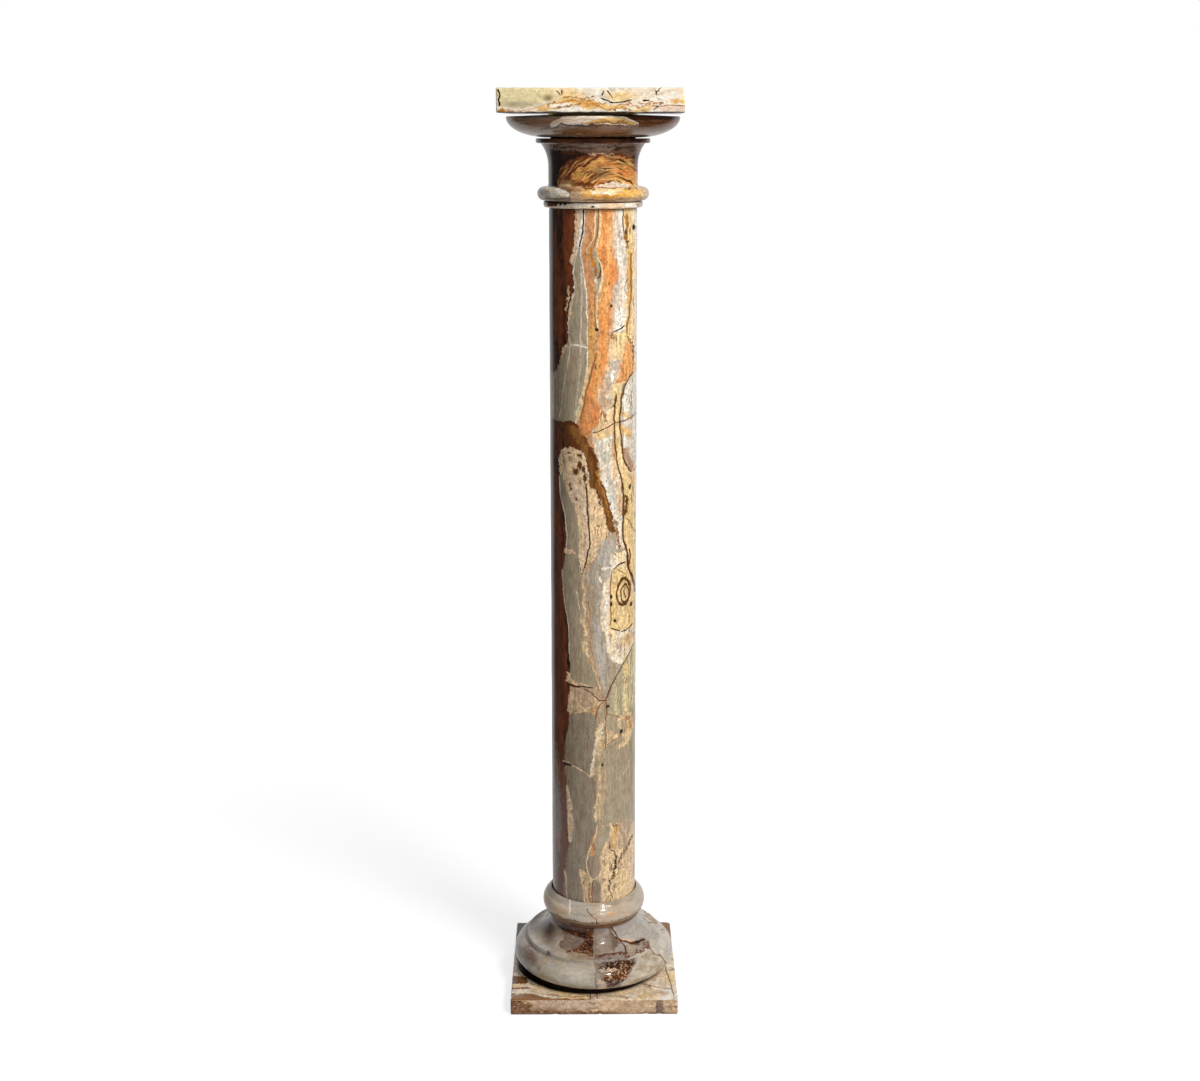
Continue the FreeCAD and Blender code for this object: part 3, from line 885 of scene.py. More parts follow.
def shaft_orange(stone):
    """The orange band with its meandering vein, and the pale bands right of it."""
    stone.band((YELLOW, CREAM), "884 28 50, 850 30 50, 800 32 50, 760 31 50, 735 30 50, 700 26 50")
    stone.band((PINK, WHITE), "884 40 60, 850 42 60, 800 42 60, 720 42 60", "ragged", 1.5)
    stone.band((LILAC, PEARL), "884 17 31, 850 18 32, 835 20 33, 820 24 34, 800 20 33, 770 19 32, "
               "740 18 30, 715 14 26, 700 9 22, 685 6 20, 676 5 19", "ragged", 1.0)
    stone.band((WHITE, PEARL), "884 25 30, 862 27 31, 845 24 33, 830 25 34, 815 27 35, 800 29 35, "
               "786 31 34", "ragged", 1.2)
    stone.band(WHITE, "781 29 33, 772 24 34, 764 21 33, 757 21 32", "clean", 1.0)
    stone.band((CREAM, YELLOW), "756 18 33, 745 18 32, 735 20 31, 726 22 28", "ragged", 1.0)
    stone.band((ASH, SAND), "728 18 27, 715 14 25, 700 11 22, 688 9 20, 677 8 18", "ragged", 1.0)
    stone.spot(WHITE, 20, 710, 2.0, 7.0, "ragged")
    stone.spot(IVORY, 16, 689, 4.0, 2.5, "ragged")
    stone.band((PINK, SALMON), "884 5 22, 850 5 21, 838 3 22, 828 7 26, 815 10 27, 800 8 22, 780 5 21, "
               "760 6 20, 740 5 20, 720 1 17, 705 -5 11, 690 -8 8, 675 -11 8", "ragged", 1.5)
    stone.band((ORANGE, DEEP_ORANGE), "884 6 18, 850 6 17, 838 4 18, 828 8 22, 815 11 23, 800 9 18, "
               "780 5 17, 760 6 16, 740 5 16, 720 1 13, 705 -5 7, 690 -8 4, 675 -11 6, 660 -16 4, "
               "650 -18 -2", "clean", 1.4)
    stone.band((SALMON, DEEP_ORANGE), "690 -8 -2, 675 -10 8, 664 -14 7, 655 -17 2, 648 -16 -6", "ragged",
               1.5)
    stone.line(CREAM, 3.6, "-4 722, -7 708, -11 692, -14 678, -17 662", "clean", 0.8)
    stone.line(BROWN, 1.3, "3 736, 0 721, -4 707, -8 692, -11 676, -14 664")
    stone.line(CREAM, 1.5, "2.4 884, 2.2 862, 0 851, -5 845, -7 840, -5 835", "clean")
    stone.line((OCHRE, BROWN), 4.0, "-2 846, -2 838, 0 828, 3 818, 4 812", "ragged", 1.2)
    stone.line(UMBER, 2.0, "5 830, 8 822, 7 814, 4 810", "clean", 0.7)
    stone.line(CREAM, 1.8, "-4 835, 2 834, 7 828, 9.5 818, 9 808, 6 797, 3.5 787, 3.5 770, 5 758", "clean",
               0.5)
    stone.line(BROWN, 1.4, "5.6 884, 5 862, 3 851, -1 842")
    stone.line(CREAM, 1.6, "7.6 884, 7.2 862, 5 849, 2 840")
    stone.line(BROWN, 0.9, "1.5 794, 1.2 780, 2.4 766, 3.4 759")
    stone.spot(IVORY, 2.2, 809, 2.6, 2.6, "ragged")
    stone.pit(3.4, 759, 1.8, 2.0)
    stone.pit(18.3, 783, 1.0, 1.6)
    stone.line(GOLD, 3.2, "38 840, 37 810, 36 785", "ragged", 1.0)
    stone.line(BROWN, 2.0, "39.5 838, 39.5 800, 38 780, 36 765, 35 751", "clean", 0.8)
    stone.line(UMBER, 1.2, "30.6 884, 30.8 862, 32 852")
    stone.line((OCHRE, BROWN), 3.0, "34 880, 35 866, 34 850, 36 838", "ragged", 0.9)
    stone.pit(33.5, 858, 1.4, 2.8)
    stone.pit(36, 848, 1.8, 1.2)
    stone.pit(42, 862, 1.6, 3.0)
    stone.crack("21 756, 27 758.5, 33 761")
    stone.band((ORANGE, SALMON), "746 36 38, 735 32 41, 720 28 43, 708 25 41, 701 23 31", "ragged", 1.2,
               CREAM)
    stone.line(UMBER, 1.6, "35 752, 38 746, 42 738, 43 722", "ragged", 0.6)


def shaft_upper(stone):
    """The brown cap with its white crystalline heart, the brown diagonal and the pale lobe at the right."""
    stone.band((WHITE, IVORY), "655 -3 24, 640 0 23, 620 4 25, 600 8 29, 580 16 31, 560 19 32, 540 24 33, "
               "522 26 34", "ragged", 1.2)
    stone.line(PEARL, 6.0, "12 632, 15 612, 18 596, 24 575, 26 560", "clean", 2.0)
    stone.line((CREAM, TAN), 4.0, "21 645, 21 625, 22 605, 27 585, 29 560", "ragged", 1.5)
    stone.band((YELLOW, PINK), "676 6 21, 668 8 21, 658 3 22, 650 -2 22, 645 1 14", "ragged", 1.5)
    stone.band((PINK, CREAM), "600 -6 2, 590 -6 5, 570 -5 13, 552 -5 19, 535 -4 14, 520 -5 6, 508 -8 -4",
               "ragged", 1.0)
    stone.band((YELLOW, CREAM), "703 21 31, 690 20 29, 670 20 29, 640 23 31, 620 24 34, 605 27 46, "
               "580 31 50, 550 32 50, 520 34 50, 490 36 50", "clean", 0.8)
    stone.band((PEARL, WHITE), "712 43 60, 700 36 60, 690 31 60, 670 29 60, 645 30 60, 625 32 60, "
               "612 36 60, 602 42 60", "clean", 0.8)
    stone.layer((GOLD, CREAM), "30 667 672, 34 664 670, 39 662 664", "ragged", 2.5)
    stone.layer((GOLD, CREAM), "30 648 657, 35 645 654, 41 642 646", "ragged", 2.5)
    stone.band((TAN, TAUPE), "634 32 35, 622 33 39, 612 36 43, 605 41 46", "ragged", 2.5)
    stone.line(UMBER, 2.0, "44 713, 38 706, 33 697, 30 687, 28.5 672, 28 655, 30 640, 32 622, 36 611, "
               "42 603", "clean", 0.6)
    stone.line(UMBER, 2.0, "24 692, 22.5 678, 22 662, 22.5 645, 24 625, 26 612, 30 600, 31.5 588, 32 560, "
               "31.5 540, 33 528", "clean", 0.6)
    stone.line(UMBER, 2.6, "24 691, 23.5 684, 22.5 676, 22 670", "ragged", 0.6)
    stone.band((MAROON, UMBER), "662 -36 -18, 655 -40 -15, 645 -41 -9, 638 -41 -5, 630 -41 -3", "ragged")
    stone.band((BROWN, OCHRE), "658 -25 -18, 648 -22 -10, 640 -14 -6, 630 -12 -3", "ragged", 3.0)
    stone.band((BLACK_BROWN, UMBER), "656 -42 -32, 645 -42 -30, 632 -42 -31", "ragged", 3.0)
    stone.band((RED_BROWN, BLACK_BROWN), "662 -60 -41, 658 -60 -36, 630 -60 -33, 600 -60 -36.5, "
               "575 -60 -34, 560 -60 -30.5, 530 -60 -29, 508 -60 -32, 480 -60 -33.5, 462 -60 -31.5, "
               "440 -60 -28, 420 -60 -27, 402 -60 -27, 393 -60 -25, 385 -60 -30, 374 -60 -27, "
               "364 -60 -24, 350 -60 -28, 335 -60 -26, 318 -60 -27, 300 -60 -31.5, 286 -60 -33", "clean",
               0.6)
    stone.band((RED_BROWN, MAROON), "560 -41 -33, 500 -42 -36, 440 -41 -31, 400 -41 -31, 350 -42 -32, "
               "300 -43 -36", "ragged", 2.0)
    stone.band((BROWN, UMBER), "648 -21 -8, 640 -17 -6, 630 -10 0, 618 -7 4, 606 -5 6, 596 -4 9, "
               "586 3 14, 574 8 17, 560 13 20, 548 15 22, 542 20 24", "ragged", 0.8)
    stone.line(MAROON, 3.6, "-3 636, 0 622, 3 610, 5 600", "ragged", 1.2)
    stone.line(OCHRE, 2.0, "3 612, 8 596, 13 578, 18 560", "ragged", 1.2)
    stone.line(RED_BROWN, 3.4, "-13 650, -10 644, -7 638", "ragged", 0.7)
    stone.line(UMBER, 2.2, "8 600, 12 588, 15 576, 19 560, 22 548", "ragged", 0.9)
    stone.line(UMBER, 2.0, "3 592, 5 580, 7 571", "ragged", 0.8)
    stone.line(BROWN, 2.2, "23 556, 25 543, 27 530, 29 521", "ragged", 0.9)
    stone.band((CREAM, LILAC), "634 -30 -19, 628 -34 -12, 615 -36 -8, 600 -35 -7, 585 -31 -7, 572 -26 -7, "
               "560 -18 -6, 540 -17 -5, 520 -18 -7, 508 -14 -9, 498 -12 -10", "ragged", 0.7, WHITE)
    stone.band((GREEN_GREY, GREY), "604 -36.5 -34, 590 -36 -28.5, 575 -34 -24, 566 -32 -19, "
               "552 -29.5 -16.5, 530 -28.5 -15.5, 510 -31 -16, 495 -33 -13, 480 -33.5 -12, "
               "462 -31.5 -10.5, 440 -28 -11, 420 -27 -10, 400 -27 -7, 390 -25 2, 380 -27 4, 371 -24 6",
               "clean", 0.4)
    stone.layer(PINK, "-31 518 523, -25 517.5 523, -20 519 520.5", "ragged", 0.6)
    stone.line(WHITE, 1.0, "-36.4 602, -35 580, -32 566, -29.8 552, -28.6 535, -29 522")
    holes = rows("-15 625.5 3 2.6, -19.5 609 3.6 3.6, -15 616 3 4.4, -10.5 611 2.4 3.8, -9 603 1.6 4.4, "
                 "-24.5 592 1 4.4, -19 579 1.8 1.8, -26 628 1.4 1.2")
    for hole in holes:
        stone.spot((UMBER, MAROON), *hole, "ragged", 0.35, 0.3)
    stone.line(UMBER, 1.8, "-8 598, -6.5 580, -6 560, -4.5 545, -4 532, -6 521, -8 511, -10 502", "clean")
    stone.line(UMBER, 3.4, "33.5 582, 35 572, 33.5 560", "ragged", 1.0)
    stone.pit(39, 588, 1.6, 3.0)
    stone.crack("-1 651, 10 653.5, 20 659, 33 661.5, 46 665", 1.2, UMBER)
    stone.crack("35 556, 46 535", 1.2, BROWN)


def shaft_middle(stone):
    """Grey bands with veins, the pale field with its ringed eye, and the white crystal strips."""
    stone.band((GREY, ASH), "536 13 19, 528 6 23, 515 2 24, 503 -5 20, 490 -9 19, 470 -8 10, 440 -7 8, "
               "420 -6 13, 400 0 19, 390 3 30, 375 6 24, 360 10 18", "clean", 1.2)
    stone.band((WHITE, CREAM), "520 20 34, 508 18 34, 496 18 36, 484 10 24, 470 8 20, 450 8 20, 436 8 20, "
               "428 13 46, 412 14 46, 400 19 44, 394 24 36", "ragged", 1.0)
    stone.spot(WHITE, 12, 503, 5.5, 1.4, "ragged")
    stone.spot(WHITE, 7.5, 491, 1.4, 3.0, "ragged")
    stone.band((CREAM, YELLOW), "503 21 26, 496 20 37, 480 18 46, 455 18 46, 440 18 46, 433 21 43, "
               "430 29 34", "clean", 0.4)
    stone.spot((SALMON, CREAM), 36, 418, 7.0, 6.0, "ragged", 0.8)
    stone.line(MAROON, 2.4, "32 532, 35 522, 36.5 512, 38 500, 41 490, 44 478, 46 468", "clean")
    stone.line(MAROON, 1.8, "38.6 521, 39.4 511, 38.5 502", "clean")
    stone.loop(UMBER, 32.5, 474, 7.4, 14.6, 2.8)
    stone.loop(UMBER, 34, 471.5, 4.2, 10.4, 2.4)
    stone.line(UMBER, 1.2, "35 480, 33 474, 34 466", "clean")
    stone.crack("22 501.5, 28 505.5, 34 507", 1.6)
    stone.crack("25 501, 34 493", 1.2, UMBER)
    stone.crack("19.5 435.5, 27 430.5", 1.6)
    stone.crack("30 429, 35 430, 43 433.5", 1.6)
    stone.crack("20 500, 18.5 486, 18 466, 19 448, 18 437", 1.2, BROWN)
    for x, z in ((19, 470.5), (19, 462.5), (41, 457), (23, 443)):
        stone.pit(x, z, 1.5, 2.4)
    stone.line((CREAM, IVORY), 3.0, "-11 500, -11 486, -10 470, -9.5 456, -9 440, -8.5 424, -8.5 408, "
               "-5 402", "ragged", 0.8)
    stone.spot((CREAM, LILAC), -10.5, 443, 3.6, 5.0, "ragged", 0.5)
    stone.spot(CREAM, -10, 416, 2.4, 6.5, "ragged", 0.6)
    stone.line(IVORY, 1.0, "-18.5 478, -16.5 463, -13 449", "clean")
    stone.line((SAND, GREY), 4.4, "-8.5 502, -8 480, -6 460, -5 440, -4.5 420, -1.5 404, 3 390, 6 376, "
               "11 360, 14 354", "clean", 2.0)
    stone.line((BROWN, SAND), 1.2, "-8 500, -7 480, -5 460, -4 440, -3.5 420, -0.5 404, 4 390, 7 376, "
               "11 362", "clean", 0.7)
    stone.line(CREAM, 1.4, "-4 404, -1 394, 3 380, 7 367", "ragged", 0.6)
    stone.line(IVORY, 1.0, "-34 500, -33.4 486, -31.6 463, -28.4 446, -27 425, -26.8 405")


def shaft_lower(stone):
    """Broken grey panels in cream outlines, the star of cracks and the brown vein."""
    stone.band((GREEN_GREY, KHAKI), "408 44 60, 396 35 60, 380 25 60, 365 19 60, 350 15 60, 330 16 60, "
               "300 12 60, 260 10 60, 225 8 60", "clean", 0.8)
    stone.band((GREY, GREEN_GREY), "334 13 60, 318 13 60, 290 9 60, 250 6 60, 215 2 60, 180 2 60, 165 4 60",
               "clean", 2.0)
    stone.line(YELLOW, 5.0, "35 392, 36 380", "ragged", 2.0)
    stone.line(YELLOW, 1.4, "36.5 384, 36 362, 36 335", "clean", 1.2)
    stone.band((GREY, SAND), "368 -24 -9, 360 -24 -1, 351 -26 2, 345 -27 -3, 338 -27 -18", "clean", 0.4,
               CREAM)
    stone.band((PINK, CREAM), "384 -31 -27, 376 -29 -22, 371 -26 -3", "ragged", 0.7)
    stone.band((SAND, GREY), "371 -9 3, 362 -3 8, 356 3 14, 350 4 12, 340 0 4", "ragged", 0.8)
    stone.band(PINK, "364 -25 -23, 354 -28 -22, 342 -28 -23, 334 -26 -24", "clean", 0.7)
    stone.band((DRAB, TAUPE), "340 -20 -2, 334 -27 3, 320 -28 4, 305 -31 2, 290 -33 0, 279 -33 -2, "
               "272 -14 -3", "clean", 0.4)
    stone.band((DRAB, TAUPE), "276 -31 -22, 268 -32 -1, 250 -30 4, 225 -30 3, 200 -29 1, 180 -29 -5, "
               "160 -32 -7, 140 -34 -2, 108 -36 -2", "clean", 0.4)
    stone.band((TAUPE, RED_BROWN), "296 -60 -34, 280 -60 -34, 262 -60 -32, 240 -60 -30.5, 200 -60 -29.5, "
               "184 -60 -28, 165 -60 -31, 140 -60 -33, 108 -60 -36", "clean", 0.7)
    stone.band((MAROON, RED_BROWN), "300 -40 -32, 270 -39 -33, 240 -38 -31, 200 -36 -29.5, 180 -36 -28.5, "
               "160 -39 -32, 130 -42 -35, 108 -43 -37", "ragged", 1.6)
    stone.band(PINK, "252 -30 -29, 240 -30 -26, 215 -29.5 -23, 198 -29 -23.5, 184 -28 -26", "clean", 0.5)
    stone.line(PINK, 1.6, "-34 279, -28 278, -20 274.5, -11 270.5, -4 264", "clean", 0.6)
    stone.layer(BLACK_BROWN, "-33 273 278, -30 275 278, -24 276 277", "clean", 0.5)
    stone.line(CREAM, 1.0, "-24 336.5, -15 340, -8 344, 1 350.5", "clean")
    stone.line(CREAM, 0.9, "1 363, 1.5 352, 1 340", "clean")
    stone.band((CREAM, GREY), "332 7 13, 316 3 12, 300 2 11, 285 1 9, 270 -4 8, 262 2 7, 245 3 7, 215 0 6",
               "ragged", 1.2)
    stone.line(IVORY, 2.6, "11 328, 7 318, 2.5 300, 0.5 286, -2.5 272, -4 264", "ragged", 0.8)
    stone.band((SAND, CREAM), "318 13 16, 310 13 22, 304 12.5 17, 297 11.5 13", "ragged", 1.4)
    stone.spot(CREAM, 23, 310, 3.6, 3.0, "ragged", 0.5)
    stone.band((CREAM, PINK), "334 29 40, 322 27 43, 312 29 43, 305 33 43, 299 28 39, 294 27.5 30",
               "ragged", 0.8)
    stone.band((GREY, SAND), "330 31 37, 322 29 38, 314 31 36", "ragged", 1.0)
    stone.line((OCHRE, BROWN), 1.4, "33 333, 39 326, 41 318, 39 312", "ragged", 0.8)
    stone.band((SAND, GREY), "278 9 14, 262 7 14, 250 8 13, 238 8 12, 215 7 10", "ragged", 2.0)
    stone.line(UMBER, 1.6, "32 391, 27 383, 20 371, 16 362, 14 355")
    stone.line(UMBER, 1.4, "45 411, 38 401, 32 391")
    stone.line(UMBER, 1.6, "-10 367.5, -4 364, 2 358, 8 353, 14 354", "clean")
    stone.crack("-24 370, -14 370, -1 369.5", 1.3)
    stone.line(BROWN, 1.6, "11 352, 6 346, 3 338, 2 334", "clean")
    stone.line(BROWN, 1.0, "14 353, 14 340, 13 325, 13 300, 12 296", "clean")
    stone.line(BROWN, 0.9, "15 338, 22 334.5, 29 331")
    stone.line(BROWN, 1.0, "14 302, 20 305, 28 309, 36 314", "clean")
    stone.pit(15.4, 346.6, 1.7, 1.6)
    stone.pit(30, 314, 2.2, 2.4)
    stone.pit(9, 278.5, 1.2, 2.0)
    stone.line(PEARL, 1.0, "41 285, 38 270, 32 262", "smooth", 0.8)
    stone.line(CREAM, 2.0, "4 240, 2 228, 3 212", "ragged", 1.2)


def shaft_foot(stone):
    """The mauve oval, the golden blotch and the pale crystalline right side above the collar."""
    stone.band((CREAM, PINK), "207 20 30, 190 17 44, 175 8 47, 160 7 47, 140 6 47, 108 7 47", "ragged", 1.6)
    stone.band((SAND, GREY), "207 24 42, 190 28 44, 176 27 36", "ragged", 2.5)
    stone.band((GOLD, CREAM), "205 22 27, 196 19.5 27, 186 19.5 25, 178 21 25", "ragged", 1.6)
    stone.line((SAND, CREAM), 5.0, "44 196, 40 180, 34 166, 32 150", "ragged", 2.0)
    stone.band((TAUPE, GREY), "171 -5 5, 166 -7 6, 156 -7.5 7, 148 -5 5, 142 -1.5 0.5", "clean", 0.4)
    stone.band((GREY, TAUPE), "140 -1 2, 132 -1 8, 108 -1 8", "clean", 0.9)
    stone.band((CREAM, SAND), "154 -16 -14, 142 -14.5 -2, 128 -12.5 -2, 108 -11 -2", "clean", 0.6)
    stone.line(BROWN, 1.6, "-4 138, -5 126, -4 114", "ragged", 1.0)
    stone.line(CREAM, 1.5, "4 208, 1 193, -3 182, -7 170, -8 158, -6 149, -1 141")
    stone.line(CREAM, 1.1, "-1 141, 4 144, 8 151", "clean")
    stone.line(UMBER, 1.2, "-1 141, -2 130, -2 110")
    stone.line(PINK, 1.8, "-33 146, -31 132, -30 112", "clean", 0.6)
    stone.line(CREAM, 1.2, "9 206, 18 207, 27 208", "ragged")
    stone.line(BLACK_BROWN, 1.8, "18 185, 19.5 177, 24 171, 25 163, 24 154, 22 146, 22 142", "ragged", 0.5,
               0.8)
    stone.line(BLACK_BROWN, 2.6, "23.5 164, 24 157, 22.5 150", "ragged", 0.6, 0.6)
    stone.line(BROWN, 1.2, "18 140.5, 23 142.5, 30 146", "ragged", 0.5)
    stone.line(BLACK_BROWN, 1.6, "18 141, 17.5 130, 19.5 122, 18 112", "ragged", 0.5, 0.6)
    stone.line(UMBER, 2.0, "43 183, 37 172, 31 164, 28 158", "ragged", 0.6, 0.4)


def shaft_stone():
    stone = Stone("shaft_onyx", back=45.0, lift=90.0)
    stone.ground((GREY, GREEN_GREY))
    stone.window = stone.ramp(stone.y, 0.0, 20.0)
    stone.cloudy((TAN, LILAC), 45.0, 0.5, 0.56)
    stone.marbled(UMBER, 60.0, 0.02)
    stone.window = None
    shaft_head(stone)
    shaft_orange(stone)
    shaft_upper(stone)
    shaft_middle(stone)
    shaft_lower(stone)
    shaft_foot(stone)
    return stone.finished(0.5, 0.6)


# The other stones

def fillet_stone():
    """The thin disc at the shaft's head: pale, with a dark upper edge at the left."""
    stone = Stone("fillet_onyx", (0.2, 0.2, 1))
    stone.ground((PINK, WHITE))
    stone.layer((MAROON, BLACK_BROWN), "-60 884 890, -45 884.6 890, -30 885.4 890, -20 887.5 890", "ragged")
    stone.band((LILAC, TAUPE), "890 44 60, 883 46 60", "ragged", 1.5)
    stone.spot(BLACK_BROWN, 0, 884, 2.0, 1.0)
    return stone.finished(0.3)


def neck_stone():
    """The capital's neck: dark stone with a golden dome of broken rings, over a pale astragal."""
    stone = Stone("neck_onyx", (0.2, 0.2, 1))
    stone.ground((MAROON, BLACK_BROWN))
    stone.band((BLACK_BROWN, BLACK), "951 -70 -34, 930 -70 -31, 903 -70 -34", "ragged", 3.0)
    stone.layer((TAUPE, MAUVE), "-70 940 947, -45 941 947, -30 940 947, -10 938 947, 10 936 947, "
                "22 940 947, 45 941 947, 70 940 947", "ragged", 1.0)
    stone.layer((BLACK_BROWN, MAUVE), "18 935 942, 30 933 943, 43 930 941, 60 920 941", "ragged", 1.0)
    stone.line(BLACK_BROWN, 1.2, "-40 943, -10 942, 15 944, 40 942.6", "ragged", 0.5)
    stone.window = stone.layer((ORANGE, RED_BROWN), "-36 903 914, -28 903 926, -15 903 933, -5 903 935, "
                               "5 903 935.5, 18 903 937, 30 903 935, 40 903 931, 48 903 920", "ragged", 1.5)
    stone.grown(MAROON, 30, 884, 12, 11, 0.4, 0.52)
    stone.window = stone.layer((GOLD, DEEP_ORANGE), "-24 902 908, -20 902 917, -10 902 923, -3 902 928, "
                               "5 902 931.5, 18 902 934.5, 28 902 933, 36 902 930, 43 902 924, 47 902 915",
                               "ragged", 1.2)
    stone.spot((OLIVE, BROWN), 7, 918, 10, 7, "ragged", 0.6)
    stone.grown(UMBER, 22, 888, 12, 11, 0.5, 0.6)
    stone.grown(YELLOW, 14, 892, 11, 10, 0.58, 0.68)
    stone.grown(MAROON, 26, 880, 12, 14, 0.64, 0.72)
    stone.window = None
    stone.line(PINK, 1.0, "-6 936.6, 5 936.2, 20 936", "ragged")
    stone.layer((CREAM, BROWN), "-34 903 905, -30 903 909, -18 903 910, -6 903 907", "ragged", 1.0)
    stone.spot((UMBER, MAROON), -8, 906, 9, 2.0, "ragged", 0.5)
    stone.layer((PEARL, LILAC), "2 903 904.5, 10 903 907, 22 903 908, 32 903 907.5, 38 903 905", "ragged",
                0.6)
    stone.layer((MAUVE, TAUPE), "-70 880 903.4, -24 880 903.4")
    stone.layer((WHITE, IVORY), "-56 894 902, -48 892 903, -40 892 903, -32 893 901, -24 894.5 897.5",
                "clean", 0.5)
    stone.layer((BROWN, SAND), "-23 880 903.4, -11 880 903.4", "ragged")
    stone.layer((YELLOW, GOLD), "-11 880 903.4, 50 880 903.4", "ragged")
    # Painted shade: the astragal's lower half browner, where it turns down from the light.
    stone.layer((BROWN, SAND), "-20 880 893, 10 880 892.5, 50 880 893", "ragged", 1.5)
    stone.layer((OCHRE, GOLD), "-11 894 897, 10 893 896, 40 894 897", "ragged", 1.0)
    stone.layer((WHITE, CREAM), "-4 899 901, 5 897 902, 12 896 902, 22 897 901.5, 30 899 900.5", "ragged",
                0.6)
    stone.line(UMBER, 1.0, "-10 901.8, 5 902.6, 25 902.6, 45 901.4", "ragged")
    stone.layer((SAND, TAUPE), "50 880 903.4, 70 880 903.4", "ragged", 1.0)
    stone.layer((BLACK_BROWN, MAROON), "-70 946.8 955, 70 946.8 955")
    return stone.finished(0.3, 0.7)


def echinus_stone():
    """The bowl under the slab: flat brown and taupe streaks with a beige swoosh and an amber crescent."""
    stone = Stone("echinus_onyx", (0.08, 0.08, 1))
    stone.ground((TAUPE, BROWN))
    stone.layer((BROWN, MAUVE), "-30 957 961, -10 956 963, 30 956 964.5, 70 958 964, 92 962 968", "ragged",
                1.2)
    stone.layer((TAUPE, EARTH), "-92 964 975, -75 961 975, -55 959 974, -40 960 972, -30 963 967", "ragged",
                1.2)
    stone.layer((MAROON, BROWN), "34 964 970, 50 961 971, 70 962 972, 92 966 974", "ragged", 1.0)
    stone.layer((BLACK_BROWN, MAROON), "24 973 978, 34 970.5 978, 50 969 978, 75 969.5 978, 92 971 978",
                "clean", 0.6)
    stone.layer((WHITE, PINK), "-42 962.6 966, -35 963.5 970, -28 965 973, -20 965 974.5, -10 966 975.5, "
                "0 969 976, 12 971.5 976, 24 972 975", "clean", 0.6)
    stone.layer((YELLOW, GOLD), "-9 965 966.2, 0 965.5 968.8, 10 966 971.4, 20 966 972, 30 965 971, "
                "38 964.5 968.8, 45 964 965.5", "clean", 0.5, WHITE)
    stone.line((OCHRE, BROWN), 2.0, "2 966.4, 15 967, 28 966.4, 40 965.4", "ragged", 0.8)
    stone.line(BLACK_BROWN, 1.4, "-52 960.6, -44 962, -40 961.2, -35 962.6, -32 965.2, -28 964, "
               "-15 963.6, 0 964", "clean")
    stone.line(UMBER, 1.4, "-5 964.2, 15 964, 35 963.4, 46 963.6, 70 961", "ragged", 0.5)
    stone.line(UMBER, 1.0, "-30 956, -10 957.5, 15 956, 35 957.5", "clean")
    return stone.finished(0.1, 0.9)


